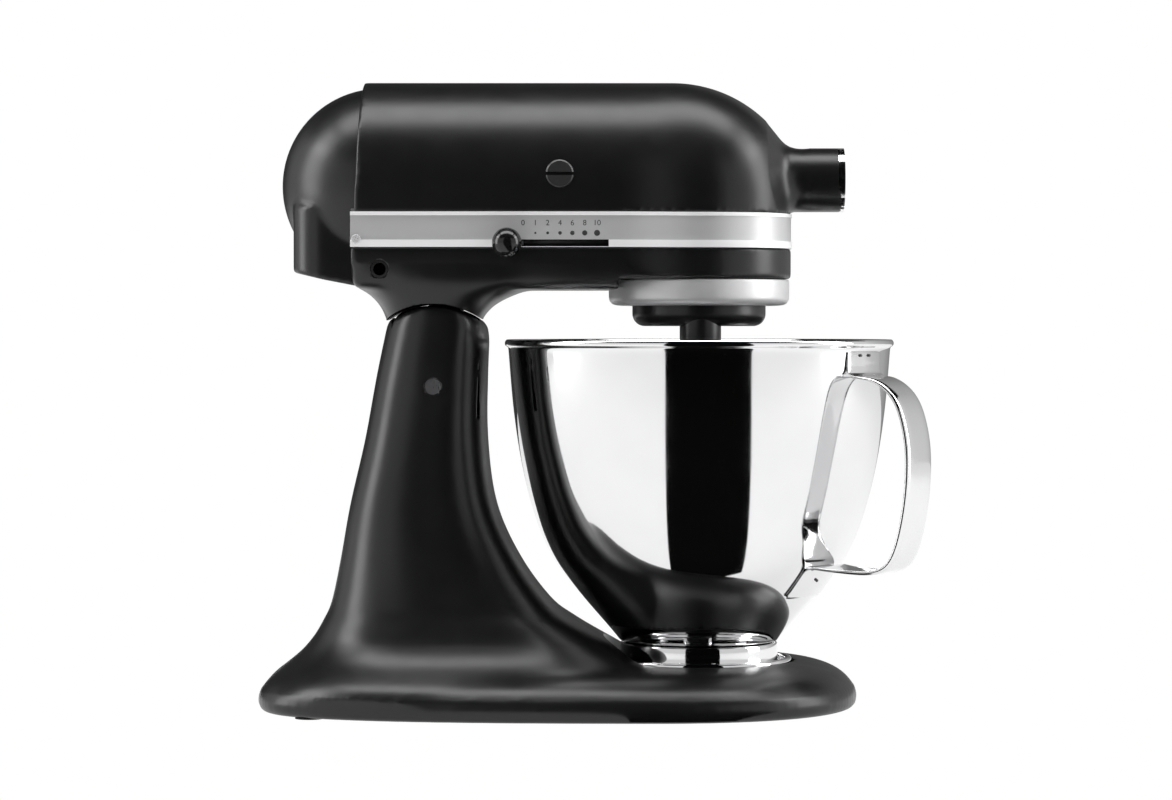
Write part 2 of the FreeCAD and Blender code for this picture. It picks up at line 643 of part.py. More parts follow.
def tongue(hinge, axle):
    """The lug between the column's cheeks, from the arm down round the hinge pin."""
    half = size("tongue_half")
    eye = Part.makeCylinder(15, 2 * half, V(hinge.x, -half, hinge.z), axle)
    reach = size("hinge_round + hinge_gap") + 6
    sides = [math.radians(angle) for angle in (96, 60)]
    rear, front = [V(reach * math.cos(a), 0, reach * math.sin(a)) for a in sides]
    web = Part.Face(Part.makePolygon([
        V(-11, -half, 9) + V(hinge.x, 0, hinge.z), rear + V(hinge.x, -half, hinge.z),
        front + V(hinge.x, -half, hinge.z), V(14.5, -half, 2) + V(hinge.x, 0, hinge.z),
        V(-11, -half, 9) + V(hinge.x, 0, hinge.z)])).extrude(V(0, 2 * half, 0))
    bore = Part.makeCylinder(size("hinge_pin_radius") + size("fit"), 2 * half + 2,
                             V(hinge.x, -half - 1, hinge.z), axle)
    return eye.fuse(web).cut(bore)


def catch_slot(hinge):
    """Room in the neck for the column's lock catch as the head tilts."""
    corners = [V(2.8, 33, 34), V(2.8, 33, 68), V(38, 33, 68), V(36.4, 33, 57.5), V(26.5, 33, 32)]
    corners = [corner + V(hinge.x, 0, hinge.z) for corner in corners]
    return Part.Face(Part.makePolygon(corners + corners[:1])).extrude(V(0, 12, 0))


def housing_screw_places():
    return [(-6.0, -30.0), (-6.0, 30.0), (-128.0, -38.0), (-128.0, 38.0)]


solid(lower_housing(), "lower_housing")


def rear_cover():
    """The ball-shaped rear cover with its flat skirt, hollow, open where it meets the housings."""
    back, wall = size("head_back"), size("cover_wall")
    centre = V(size("cover_centre_x"), 0, size("cover_centre_z"))
    low, high = size("skirt_low"), size("skirt_top")

    def filled(inset):
        ball = Part.makeSphere(size("cover_ball") - inset, centre)
        half, tail, bend = size("skirt_half") - inset, size("skirt_back") + inset, size("skirt_round")
        right = [V(back, -half, 0), V(tail + bend, -half, 0), V(tail, -half + bend, 0)]
        middle = V(tail + bend * 0.293, -half + bend * 0.293, 0)
        plan = [
            bar(right[0], right[1]), Part.Arc(right[1], middle, right[2]).toShape(),
            bar(right[2], V(tail, half - bend, 0)),
            Part.Arc(V(tail, half - bend, 0), V(middle.x, -middle.y, 0), V(tail + bend, half, 0)).toShape(),
            bar(V(tail + bend, half, 0), V(back, half, 0)), bar(V(back, half, 0), right[0]),
        ]
        skirt = Part.Face(Part.Wire(plan)).extrude(V(0, 0, high - low - 2 * inset))
        skirt.translate(V(0, 0, low + inset))
        under = Part.Face(Part.makePolygon([
            V(back, -80, low - 5), V(tail - 5, -80, low - 5), V(tail - 5, -80, low + 11 + inset),
            V(tail + 4, -80, low + 7.5 + inset), V(back, -80, low - 0.3 + inset), V(back, -80, low - 5),
        ])).extrude(V(0, 160, 0))
        return ball.fuse(skirt.cut(under))

    keep_side = Part.makeBox(80, 200, 200, V(back - 80, -100, 200))
    outside = filled(0).common(keep_side)
    shell = outside.cut(filled(wall).common(Part.makeBox(80.1, 200, 200, V(back - 80, -100, 200))))
    screw = Part.makeCylinder(1.6, 60, V(back - 60, 0, size("skirt_low") + 20), V(1, 0, 0))
    return shell.cut(screw)


solid(rear_cover(), "rear_cover")
lathe([(0, "skirt_back - 1.2"), (3.4, "skirt_back - 1.2"), (3.4, "skirt_back"), (1.55, "skirt_back"),
       (1.55, "skirt_back + 12"), (0, "skirt_back + 12")], "rear_cover_screw", z="skirt_low + 20", along="X")


def trim_band():
    """A thin metal band round the head: a level face between a narrow upper lip and a wider lower lip."""
    low, high = size("band_low"), size("band_high")
    proud, depth = size("band_proud"), size("band_depth")
    strip = head_prism(-proud, low, high).cut(head_prism(depth, low, high))
    face_low, face_high = low + size("band_foot_lip"), high - size("band_lip")
    recess = head_prism(-6, face_low, face_high).cut(head_prism(-proud + 0.5, face_low, face_high))
    strip = strip.cut(recess).cut(Part.makeBox(1, 200, 60, V(size("head_back") - 0.99, -100, 240)))
    for side in (-1, 1):
        strip = strip.cut(band_screw_hole(side))
    return strip.cut(lever_slots())


solid(trim_band(), "trim_band")
group("trim_band_screws", *[
    lathe([(0, "head_half - 4"), ("band_screw", "head_half - 4"), ("band_screw", "head_half + band_proud"),
           (2.6, "head_half + band_proud"), (2.2, "head_half + band_proud + 1.1"),
           (0, "head_half + band_proud + 1.1")],
          x="head_back + 3.2", z="band_low + 4.4", along=along)
    for along in ("Y", "-Y")])
group("housing_screws", *[
    lathe([(0, "arm_under + 2"), ("screw_head", "arm_under + 2"), ("screw_head", "arm_under + 7"),
           ("screw_shank - fit", "arm_under + 7"), ("screw_shank - fit", "split"), (0, "split")], x=x, y=y)
    for x, y in housing_screw_places()])
lathe([("gland_radius - 1.5", -57), ("gland_radius - fit", -57), ("gland_radius - fit", -45),
       ("gland_radius + 1.5", -45), ("gland_radius + 1.5", -43), ("gland_radius - 1.5", -43)],
      "cord_gland", x="gland_x", z="gland_z", along="Y")

lathe([("ring_out - 7", "ring_low + 5.5"), ("ring_out - 12", "ring_low + 4"), ("ring_out - 12", "ring_low"),
       ("ring_out - 4", "ring_low"), ("ring_out", "ring_low + 3"), ("ring_out", "drum_low"),
       ("ring_out - 7", "drum_low")], "drip_ring", x="axis_x")


# ---- the motor ---------------------------------------------------------------------------------------

def along_x(points, node=None):
    """A turned piece on the motor's axis, its outline as (radius, x)."""
    return lathe(points, node, z="motor_z", along="X")


along_x([(0, -133), ("armature_radius", -133), ("armature_radius", 36), (0, 36)], "armature_shaft")
along_x([("armature_radius", "core_back"), ("core_radius", "core_back"), ("core_radius", "core_front"),
         ("armature_radius", "core_front")], "armature_core")
along_x([("armature_radius", -32), (9, -32), (9, -30), ("commutator_radius", -30), ("commutator_radius", -10),
         ("armature_radius", -10)], "commutator")
along_x([("armature_radius", 9), ("worm_radius", 9), ("worm_radius", 35), ("armature_radius", 35)], "worm")


def cooling_fan():
    """A hub, a backing disc and twelve straight blades."""
    hub = Part.makeCylinder(11, 9, V(-122, 0, 0), V(1, 0, 0))
    disc = Part.makeCylinder(size("fan_radius"), 1.6, V(-122, 0, 0), V(1, 0, 0))
    blades = []
    for i in range(12):
        blade = Part.makeBox(8, 1.4, size("fan_radius") - 11, V(-121, -0.7, 10))
        blade.rotate(V(), V(1, 0, 0), 30 * i)
        blades.append(blade)
    bore = Part.makeCylinder(size("armature_radius"), 20, V(-125, 0, 0), V(1, 0, 0))
    fan = hub.multiFuse([disc] + blades).cut(bore)
    fan.translate(V(0, 0, size("motor_z")))
    return fan


solid(cooling_fan(), "cooling_fan")

stator_tube = along_x([("core_radius + air_gap", "core_back"), ("stator_radius", "core_back"),
                       ("stator_radius", "core_front"), ("core_radius + air_gap", "core_front")])
stator_trim = [block(-110, -50, -60, 60, "motor_z + stator_flat", "motor_z + 60"),
               block(-110, -50, -60, 60, "motor_z - 60", "motor_z - stator_flat")]
trimmed("motor_stator", stator_tube, *stator_trim)
group("stator_coils", *[
    along_x([("core_radius + 3", low), ("stator_flat - 4", low), ("stator_flat - 4", high),
             ("core_radius + 3", high)])
    for low, high in (("core_back - 6.5", "core_back"), ("core_front", "core_front + 7"))])


def bearing_bracket(node, bearing_x, half_height):
    """A cross bar between the head's walls with an eye that holds one armature bearing."""
    reach = "head_half - head_wall - 0.7"
    bar_blank = block("%s - 1" % bearing_x, "%s + bearing_width - 1" % bearing_x, "-(%s)" % reach, reach,
                      "motor_z - %s" % half_height, "motor_z + 2")
    eye = along_x([(0, "%s - 1" % bearing_x), ("bearing_radius + 4", "%s - 1" % bearing_x),
                   ("bearing_radius + 4", "%s + bearing_width - 1" % bearing_x),
                   (0, "%s + bearing_width - 1" % bearing_x)])
    beam = joined(None, bar_blank, eye)
    hole = along_x([(0, "%s - 5" % bearing_x), ("bearing_radius", "%s - 5" % bearing_x),
                    ("bearing_radius", "%s + 12" % bearing_x), (0, "%s + 12" % bearing_x)])
    return trimmed(node, beam, hole)


bearing_bracket("front_bearing_bracket", "front_bearing_x", 18)
bearing_bracket("rear_bearing_bracket", "rear_bearing_x", 18)
for node, bearing_x in (("front_bearing", "front_bearing_x"), ("rear_bearing", "rear_bearing_x")):
    along_x([("armature_radius + fit", bearing_x), ("bearing_radius", bearing_x),
             ("bearing_radius", "%s + bearing_width - 1" % bearing_x),
             ("armature_radius + fit", "%s + bearing_width - 1" % bearing_x)], node)


def per_side(make):
    return [make(side) for side in ("Y", "-Y")]


def brush_cap(side):
    """A screw-in cap over one brush, with a slot for a screwdriver."""
    cap = lathe([(0, "brush_cap_seat"), ("brush_cap_radius", "brush_cap_seat"),
                 ("brush_cap_radius", "head_half + 0.2"), ("brush_cap_radius - 0.8", "head_half + 1"),
                 (0, "head_half + 1")], x="brush_x", z="motor_z", along=side)
    near, far = "head_half - 0.8", "head_half + 2"
    if side == "-Y":
        near, far = "-head_half - 2", "-head_half + 0.8"
    slot = block("brush_x - 9", "brush_x + 9", near, far, "motor_z - 0.9", "motor_z + 0.9")
    return trimmed(None, cap, slot)


def brush_tube(outer, inner, low, high, side):
    return rod(outer, low, high, inner=inner, x="brush_x", z="motor_z", along=side)


group("brush_caps", *per_side(brush_cap))
group("brush_holders", *per_side(lambda side: brush_tube(
    "brush_cap_radius - 0.2", "brush_radius + 0.1", "commutator_radius + 3", "brush_cap_seat", side)))
group("carbon_brushes", *per_side(lambda side: brush_tube(
    "brush_radius", None, "commutator_radius + 0.6", "brush_end", side)))
group("brush_springs", *per_side(lambda side: brush_tube(
    "brush_radius - 1.3", "brush_radius - 2.5", "brush_end", "brush_cap_seat", side)))
control_board = [block(-138, -136, -28, 28, "motor_z - 24.6", "motor_z + 22.4")]
control_board += [
    rod(2.5, -136, "rear_bearing_x - 1", y=y, z="motor_z + %s" % up, along="X")
    for y in (-20, 20) for up in (8.4, -7.6)]
joined("speed_control_board", *control_board)

# ---- the gear train ----------------------------------------------------------------------------------


def angle_to_pinion():
    return math.degrees(math.atan2(size("wheel_y"), pinion_x() - size("axis_x")))


def centre_gear():
    low = size("gear_low")
    # a space of the centre gear faces a tooth of the pinion
    turn = angle_to_pinion() + 180 / size("centre_teeth")
    piece = gear(int(size("centre_teeth")), size("module_size"), size("centre_shaft_radius"), low,
                 low + size("gear_thick"), turn)
    piece.translate(V(size("axis_x"), 0, 0))
    return piece


def pinion():
    low = size("gear_low") - 1
    piece = gear(int(size("pinion_teeth")), size("module_size"), size("pinion_shaft_radius"), low,
                 low + size("gear_thick") + 2, angle_to_pinion() + 180)
    piece.translate(V(pinion_x(), size("wheel_y"), 0))
    return piece


def worm_wheel():
    """A toothed wheel beside the worm, on the pinion's shaft."""
    radius = size("wheel_y - worm_radius - gear_gap")
    middle = size("motor_z")
    wheel = gear(20, radius / 10.8, size("pinion_shaft_radius"), middle - 6, middle + 6)
    wheel.translate(V(pinion_x(), size("wheel_y"), 0))
    return wheel


def bevel(big, small, high_radius, gap, bore, node_low):
    """A bevel gear about +Z, its apex at the origin: a cone band with straight slots, over a plain back."""
    slope = small / big
    inner = high_radius
    profile = [V(bore, 0, -node_low), V(big + 2, 0, -node_low), V(big + 2, 0, -small - gap - 1.0),
               V(big, 0, -small - gap), V(inner, 0, -inner * slope - gap), V(bore, 0, -inner * slope - gap)]
    blank = Part.Face(Part.makePolygon(profile + profile[:1])).revolve(V(), V(0, 0, 1), 360)
    return blank


solid(centre_gear(), "centre_gear")
solid(pinion(), "drive_pinion")
solid(worm_wheel(), "worm_wheel")
rod("pinion_shaft_radius", "drum_floor + 1.3", "motor_z + 22", "pinion_shaft", x=pinion_x(), y="wheel_y")

centre_bevel = bevel(size("bevel_big"), size("bevel_small"), 16, size("gear_gap"),
                     size("centre_shaft_radius"), size("hub_z - gear_low - gear_thick"))
centre_bevel.translate(V(size("axis_x"), 0, size("hub_z")))
solid(centre_bevel, "centre_bevel_gear")
trimmed("centre_shaft", rod("centre_shaft_radius", "carrier_low + 3", "hub_z - 9", x="axis_x"),
        rod("carrier_pin_radius", -20, 20, x="axis_x", z="carrier_low + 8", along="X"))
rod("centre_bush_radius", "drum_low", "gear_low - 2", "centre_shaft_bush", inner="centre_shaft_radius + fit",
    x="axis_x")

# the hub drive turns on X; its bevel points back at the centre shaft's axis
lathe([(0, "axis_x + 16"), ("8 - gear_gap", "axis_x + 16"), ("bevel_small - gear_gap", "axis_x + bevel_big"),
       ("bevel_small - 1", "axis_x + bevel_big + 1.6"), (0, "axis_x + bevel_big + 1.6")],
      "hub_bevel_gear", z="hub_z", along="X")
hub_spindle = lathe([(0, "axis_x + bevel_big + 1.6"), (8, "axis_x + bevel_big + 1.6"), (8, 97),
                     ("hub_bore - 0.7", 97), ("hub_bore - 0.7", "hub_seat"), (0, "hub_seat")],
                    z="hub_z", along="X")
hub_square = block(88, "hub_seat + 1", "-hub_socket_half", "hub_socket_half", "hub_z - hub_socket_half",
                   "hub_z + hub_socket_half")
trimmed("hub_drive_socket", hub_spindle, hub_square)
rod("bevel_small", 86.5, 96, "hub_bush", inner="8 + fit", z="hub_z", along="X")


def hub_cover():
    """A polished cap over the hub, with a slot for the collar's lug and a hole for its pin."""
    low = size("hub_end + cover_gap")
    thick, radius = size("cover_thick"), size("hub_radius")
    disc = Part.makeCylinder(radius, thick, V(low, 0, size("hub_z")), V(1, 0, 0))
    disc = disc.cut(Part.makeBox(10, 40, 10, V(low - 2, -20, cover_pin_z() + 1.9)))
    disc = disc.cut(Part.makeBox(10, 6.8, 12, V(low - 2, -3.4, size("hub_z") + 12.6)))
    pin_start = V(cover_pin_x(), -20, cover_pin_z())
    return disc.cut(Part.makeCylinder(size("cover_pin + fit"), 40, pin_start, V(0, 1, 0)))


solid(hub_cover(), "hub_cover")
rod("cover_pin", -7.5, 7.5, "hub_cover_pin", x=cover_pin_x(), z=cover_pin_z(), along="Y")
lathe([(0, "hub_bore + small_gap"), ("thumb_screw", "hub_bore + small_gap"),
       ("thumb_screw", "hub_radius + 2"), (5, "hub_radius + 2"), (5, "hub_radius + 6"),
       (10, "hub_radius + 8"), (11, "hub_radius + 14"), (9.5, "hub_radius + 21"),
       (0, "hub_radius + 22.5")], "hub_knob", x="knob_x", z="hub_z", along="Y")

# ---- the planetary drive -----------------------------------------------------------------------------


# how far the beater shaft runs from the centre shaft
ORBIT = "module_size * (ring_teeth - planet_teeth) / 2"


def orbit():
    return size(ORBIT)


def ring_gear():
    low, high = size("drum_low") - 9, size("drum_low")
    teeth, module = int(size("ring_teeth")), size("module_size")
    blank = Part.makeCylinder(size("ring_gear_out"), high - low, V(0, 0, low))
    space = Part.Face(gear_outline(teeth, module, internal=True)).extrude(V(0, 0, high - low))
    space.translate(V(0, 0, low))
    # a space of the ring faces the planet pinion's outermost tooth
    space.rotate(V(), V(0, 0, 1), -90)
    blank = blank.cut(space)
    blank.translate(V(size("axis_x"), 0, 0))
    return blank


def planet_pinion():
    low = size("drum_low") - 8.7
    teeth, module = int(size("planet_teeth")), size("module_size")
    piece = gear(teeth, module, size("beater_shaft_radius"), low, low + 8, -90)
    piece.translate(V(size("axis_x"), -orbit(), 0))
    return piece


def planet_carrier():
    """The black rotor under the drip ring, with a boss for the beater shaft and one for the centre shaft."""
    low, top, radius = size("carrier_low"), size("carrier_top"), size("carrier_radius")
    bend = 7.0
    outline = [
        bar(V(0, 0, top), V(radius, 0, top)), bar(V(radius, 0, top), V(radius, 0, low + bend)),
        Part.Arc(V(radius, 0, low + bend), V(radius - bend * 0.293, 0, low + bend * 0.293),
                 V(radius - bend, 0, low)).toShape(),
        bar(V(radius - bend, 0, low), V(0, 0, low)), bar(V(0, 0, low), V(0, 0, top)),
    ]
    disc = Part.Face(Part.Wire(outline)).revolve(V(), V(0, 0, 1), 360)
    boss = V(0, -orbit(), size("boss_low"))
    disc = disc.fuse(Part.makeCylinder(size("boss_radius"), top - boss.z, boss))
    disc = disc.fuse(Part.makeCylinder(12.5, 2, V(0, 0, top)))
    disc = disc.cut(Part.makeCylinder(size("centre_shaft_radius"), 40, V(0, 0, low + 3)))
    disc = disc.cut(Part.makeCylinder(size("beater_bush_radius"), 60, boss - V(0, 0, 5)))
    hollow = Part.makeCylinder(size("carrier_radius - carrier_wall"), top - low - 6, V(0, 0, low + 6))
    keep_bosses = Part.makeCylinder(size("carrier_hub"), 40, V(0, 0, low)).fuse(
        Part.makeCylinder(size("boss_radius"), 40, V(0, -orbit(), low)))
    lid = Part.makeCylinder(size("carrier_radius - carrier_wall") - 0.5, 3, V(0, 0, top - 3))
    disc = disc.cut(hollow.cut(keep_bosses).cut(lid))
    pin_start = V(-size("carrier_hub"), 0, low + 8)
    pin_bore = Part.makeCylinder(size("carrier_pin_radius"), 2 * size("carrier_hub"), pin_start, V(1, 0, 0))
    disc = disc.cut(pin_bore)
    disc.translate(V(size("axis_x"), 0, 0))
    return disc


solid(ring_gear(), "ring_gear")
solid(planet_pinion(), "planet_pinion")
solid(planet_carrier(), "planet_carrier")
rod("carrier_pin_radius", "0.1 - carrier_hub", "carrier_hub - 0.1", "carrier_pin", x="axis_x",
    z="carrier_low + 8", along="X")
planet_y = "-" + ORBIT
rod("beater_bush_radius", "boss_low", "carrier_top", "beater_shaft_bush", inner="beater_shaft_radius + fit",
    x="axis_x", y=planet_y)
beater_bar = lathe([(0, "beater_end"), ("beater_shaft_radius - 1.5", "beater_end"),
                    ("beater_shaft_radius", "beater_end + 1.5"), ("beater_shaft_radius", "drum_low - 0.5"),
                    (0, "drum_low - 0.5")], x="axis_x", y=planet_y)
beater_pin_hole = rod("attachment_pin_radius", "axis_x - 20", "axis_x + 20", y=planet_y,
                      z="attachment_pin_z", along="X")
trimmed("beater_shaft", beater_bar, beater_pin_hole)
rod("attachment_pin_radius", "axis_x - 9.5", "axis_x + 9.5", "attachment_pin", y=planet_y,
    z="attachment_pin_z", along="X")
rod(9.5, "boss_low - 3.3", "boss_low - small_gap", "beater_shaft_washer", inner="beater_shaft_radius",
    x="axis_x", y=planet_y)

# ---- the levers ---------------------------------------------------------------------------------------


def lever_knob(along):
    """A ball on a short neck, with a slot for the link's stem."""
    half, root = size("stem_half"), size("head_half") - 12
    ball = Part.makeSphere(size("knob_radius"), V(0, 0, size("lever_reach")))
    neck = Part.makeCylinder(3.6, 6, V(0, 0, size("head_half") + 1.2))
    stem_slot = Part.makeBox(7, 2 * half, 22, V(-3.5, -half, root))
    knob = ball.fuse(neck).cut(stem_slot)
    knob.Placement = FreeCAD.Placement(V(), TURNS[along])
    return knob


def lever(node, x, side, link, extras=()):
    """A ball knob outside the band, and the flat link inside that its stem is part of."""
    knob = lever_knob("Y" if side > 0 else "-Y")
    knob.translate(V(x, 0, size("lever_z")))
    solid(knob, node + "_knob")
    half = size("stem_half")
    stem = Part.makeBox(7, 22, 2 * half, V(x - 3.5, -11, size("lever_z") - half))
    stem.translate(V(0, side * (size("link_y") + 11), 0))
    bar_z, bar_height = size("lever_z") - 4, 9
    strip = Part.makeBox(link[1] - link[0], 2, bar_height, V(link[0], -1, bar_z))
    strip.translate(V(0, side * size("link_y"), 0))
    piece = stem.fuse(strip)
    for extra in extras:
        piece = piece.fuse(extra)
    solid(piece, node + "_link")


arm_start = -size("head_half") - 1.8
speed_pointer = Part.makeBox(5, 1.2, 2.4, V(size("lever_x") + 4, arm_start, size("lever_z") - 1.2))
speed_arm = Part.makeBox(9, 12, 2 * size("stem_half"),
                         V(size("lever_x") - 1, arm_start, size("lever_z - stem_half")))
lever("speed_lever", size("lever_x"), -1, (-134.0, -40.0), [speed_pointer, speed_arm])
bolt_low = size("hinge_z + lock_bolt_low")
lock_back, lock_front = size("lock_x") - 12, size("lock_x") + 12
lock_bolt = Part.makeBox(size("lock_bolt_long"), size("link_y") - 36, size("lock_bolt_thick"),
                         V(lock_back, 37, bolt_low))
lock_drop = Part.makeBox(lock_front - lock_back, 2, 20, V(lock_back, size("link_y") - 1, bolt_low))
lever("lock_lever", size("lock_x"), 1, (lock_back, lock_front), [lock_bolt, lock_drop])

# ---- the bowl -------------------------------------------------------------------------------------------

# radius and height up the outside of the bowl, from the foot to the rolled rim
BOWL_SIDE = [(45.0, 37.0), (49.5, 43.5), (63.0, 58.0), (82.0, 82.0), (94.5, 112.0), (101.5, 142.0),
             (105.8, 172.0), (108.0, 202.5)]


def bowl_curve(gap=0.0):
    """The bowl's outside in the XZ plane, moved outwards by gap."""
    return smooth([V(radius + gap, 0, height) for radius, height in BOWL_SIDE])


def revolved(edges):
    """A solid turned about Z from the edges of a closed outline in the XZ plane."""
    return Part.Face(Part.Wire(Part.__sortEdges__(edges))).revolve(V(), V(0, 0, 1), 360)


def bowl_shell():
    """A pressed steel bowl with a rolled rim, one wall thick, and a low dome in its floor."""
    wall, rim, top, low = size("bowl_wall"), size("bowl_rim"), size("bowl_top"), size("bowl_low")
    outer = bowl_curve()
    flat, rise = size("bowl_floor_flat"), size("bowl_floor_rise")
    lip = V(BOWL_SIDE[-1][0], 0, top - 4)
    roll = V(rim - 2.4, 0, top)
    across = V(1, 0, 0)

    def floor(lift):
        crown = V(0, 0, low + rise + lift)
        halfway = V(flat / 2, 0, low + rise * 0.62 + lift)
        return smooth([crown, halfway, V(flat, 0, low + lift)], across, across)

    outside = revolved([
        floor(0), bar(V(flat, 0, low), V(BOWL_SIDE[0][0], 0, low)), outer, bar(outer.Vertexes[-1].Point, lip),
        Part.Arc(lip, V(rim, 0, top - 2.4), roll).toShape(), bar(roll, V(0, 0, top)),
        bar(V(0, 0, top), V(0, 0, low + rise))])
    inner = smooth([V(r - wall, 0, z + wall * max(0.0, 1 - (z - low) / 60)) for r, z in BOWL_SIDE])
    foot, head = inner.Vertexes[0].Point, inner.Vertexes[-1].Point
    inside = revolved([
        floor(wall), bar(V(flat, 0, low + wall), foot), inner, bar(head, V(head.x, 0, top + 1)),
        bar(V(head.x, 0, top + 1), V(0, 0, top + 1)), bar(V(0, 0, top + 1), V(0, 0, low + rise + wall))])
    shell = outside.cut(inside)
    shell.translate(V(size("axis_x"), 0, 0))
    return shell


solid(bowl_shell(), "bowl_shell")


def bowl_foot():
    """The steel foot ring under the bowl, with three lugs that turn under the clamp plate's hooks."""
    radius, top = size("bowl_foot_radius"), size("bowl_low")
    low = size("deck") + 1.3
    ring = Part.makeCylinder(radius, top - low, V(0, 0, low))
    ring = ring.cut(Part.makeCylinder(radius - 2, top - low - 1.5, V(0, 0, low)))
    ring = ring.cut(Part.makeCylinder(30, 40, V(0, 0, low)))
    for angle in (17, 137, 257):
        lug = Part.makeCylinder(radius + 2.8, 2.2, V(0, 0, low + 0.6), V(0, 0, 1), 20)
        lug = lug.cut(Part.makeCylinder(radius - 1, 40, V(0, 0, low - 5)))
        lug.rotate(V(), V(0, 0, 1), angle)
        ring = ring.fuse(lug)
    ring.translate(V(size("axis_x"), 0, 0))
    return ring


solid(bowl_foot(), "bowl_foot_ring")


def bowl_handle():
    """A bent steel strap on two plates that are spot welded to the bowl's side."""
    thick, width = size("handle_thick"), size("handle_width")
    route = [(106.5, 190.0), (121.0, 188.5), (134.0, 178.0), (141.2, 160.0), (143.5, 140.0), (140.7, 112.0),
             (134.5, 90.0), (123.0, 80.0), (106.0, 79.0), (90.0, 79.5), (76.0, 80.5)]
    outer = smooth([V(r, 0, z) for r, z in route])
    first, last = outer.FirstParameter, outer.LastParameter
    inside = []
    for i in range(15):
        at = first + (last - first) * i / 14
        point, along = outer.valueAt(at), outer.tangentAt(at)
        inside.append(point + V(along.z, 0, -along.x).multiply(thick))
    inner = smooth(inside)
    ends = [bar(outer.Vertexes[end].Point, inner.Vertexes[end].Point) for end in (0, -1)]
    strap = Part.Face(Part.Wire(Part.__sortEdges__([outer, inner] + ends))).extrude(V(0, width, 0))
    strap.translate(V(0, -width / 2, 0))
    gap = size("fit")
    near = bowl_curve(gap)
    near_low, near_high = near.Vertexes[0].Point, near.Vertexes[-1].Point
    axis_low, axis_high = V(0, 0, near_low.z), V(0, 0, near_high.z)
    space = Part.Face(Part.Wire([near, bar(near_high, axis_high), bar(axis_high, axis_low),
                                 bar(axis_low, near_low)])).revolve(V(), V(0, 0, 1), 360)
    far = bowl_curve(gap + 1.8)
    far_low, far_high = far.Vertexes[0].Point, far.Vertexes[-1].Point
    skin = Part.Face(Part.Wire([near, bar(near_high, far_high), far, bar(far_low, near_low)])).revolve(
        V(), V(0, 0, 1), 18)
    skin.rotate(V(), V(0, 0, 1), -9)
    handle = strap.cut(space)
    for low, high in ((175.0, 198.0), (66.0, 90.0)):
        handle = handle.fuse(skin.common(Part.makeBox(200, 200, high - low, V(0, -100, low))))
    handle.rotate(V(), V(0, 0, 1), size("handle_angle"))
    handle.translate(V(size("axis_x"), 0, 0))
    return handle


solid(bowl_handle(), "bowl_handle")

# ---- write the parts ------------------------------------------------------------------------------------

doc.recompute()
for thing in doc.Objects:
    if {"Invalid", "Error"} & set(thing.State):
        raise RuntimeError("failed: %s" % thing.Label)
for thing in SUB_PARTS:
    if thing.Shape.isNull() or not thing.Shape.isValid() or not thing.Shape.Solids:
        raise RuntimeError("bad shape: %s" % thing.Label)
os.makedirs("parts", exist_ok=True)
for thing in SUB_PARTS:
    thing.Shape.exportStep("parts/%s.step" % thing.Label)
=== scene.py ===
"""The looks of a tilt-head stand mixer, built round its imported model, in metres in the model's own frame."""
import json
import math

import bmesh
import bpy
from mathutils import Matrix, Vector


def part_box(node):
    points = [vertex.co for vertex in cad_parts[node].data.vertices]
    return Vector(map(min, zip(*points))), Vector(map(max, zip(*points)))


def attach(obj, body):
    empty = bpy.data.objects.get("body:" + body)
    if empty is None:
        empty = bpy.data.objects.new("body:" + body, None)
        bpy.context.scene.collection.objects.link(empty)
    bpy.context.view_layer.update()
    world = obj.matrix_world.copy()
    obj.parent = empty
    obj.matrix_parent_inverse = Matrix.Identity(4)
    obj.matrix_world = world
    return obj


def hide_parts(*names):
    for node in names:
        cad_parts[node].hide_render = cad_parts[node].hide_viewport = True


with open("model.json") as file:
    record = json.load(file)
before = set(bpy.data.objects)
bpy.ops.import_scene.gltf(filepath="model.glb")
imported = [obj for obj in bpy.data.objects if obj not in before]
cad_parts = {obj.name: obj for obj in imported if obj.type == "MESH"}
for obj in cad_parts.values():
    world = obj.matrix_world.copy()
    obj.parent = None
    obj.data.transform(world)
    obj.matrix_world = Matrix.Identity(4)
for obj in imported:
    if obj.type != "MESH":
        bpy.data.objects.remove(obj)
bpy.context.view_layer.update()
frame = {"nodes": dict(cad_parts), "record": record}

# ---- Camera ------------------------------------------------------------------------------------
# A long lens two metres to the side of the mixer. It stands just higher than the bowl's rim and is tipped
# down a little.

TIPPED_DOWN = 1.22
lens = bpy.data.cameras.new("side_camera")
lens.lens = 108.2
lens.sensor_width = 36.0
camera = bpy.data.objects.new("side_camera", lens)
camera.location = (-0.0051, -2.0, 0.2162)
camera.rotation_euler = (math.radians(90 - TIPPED_DOWN), 0, 0)
bpy.context.scene.collection.objects.link(camera)
bpy.context.scene.camera = camera

# ---- Pedestal -----------------------------------------------------------------------------------
# One zinc casting with base, flared column and round top. It is sprayed with a satin black enamel, which
# dries with a faint peel and a slightly uneven gloss.

MM = 0.001


def new_material(name, **sockets):
    """A material of one shader, with what is even all over set on the shader's own sockets."""
    material = bpy.data.materials.new(name)
    material.use_nodes = True
    shader = material.node_tree.nodes["Principled BSDF"]
    for socket, value in sockets.items():
        shader.inputs[socket.replace("_", " ")].default_value = value
    return material, shader


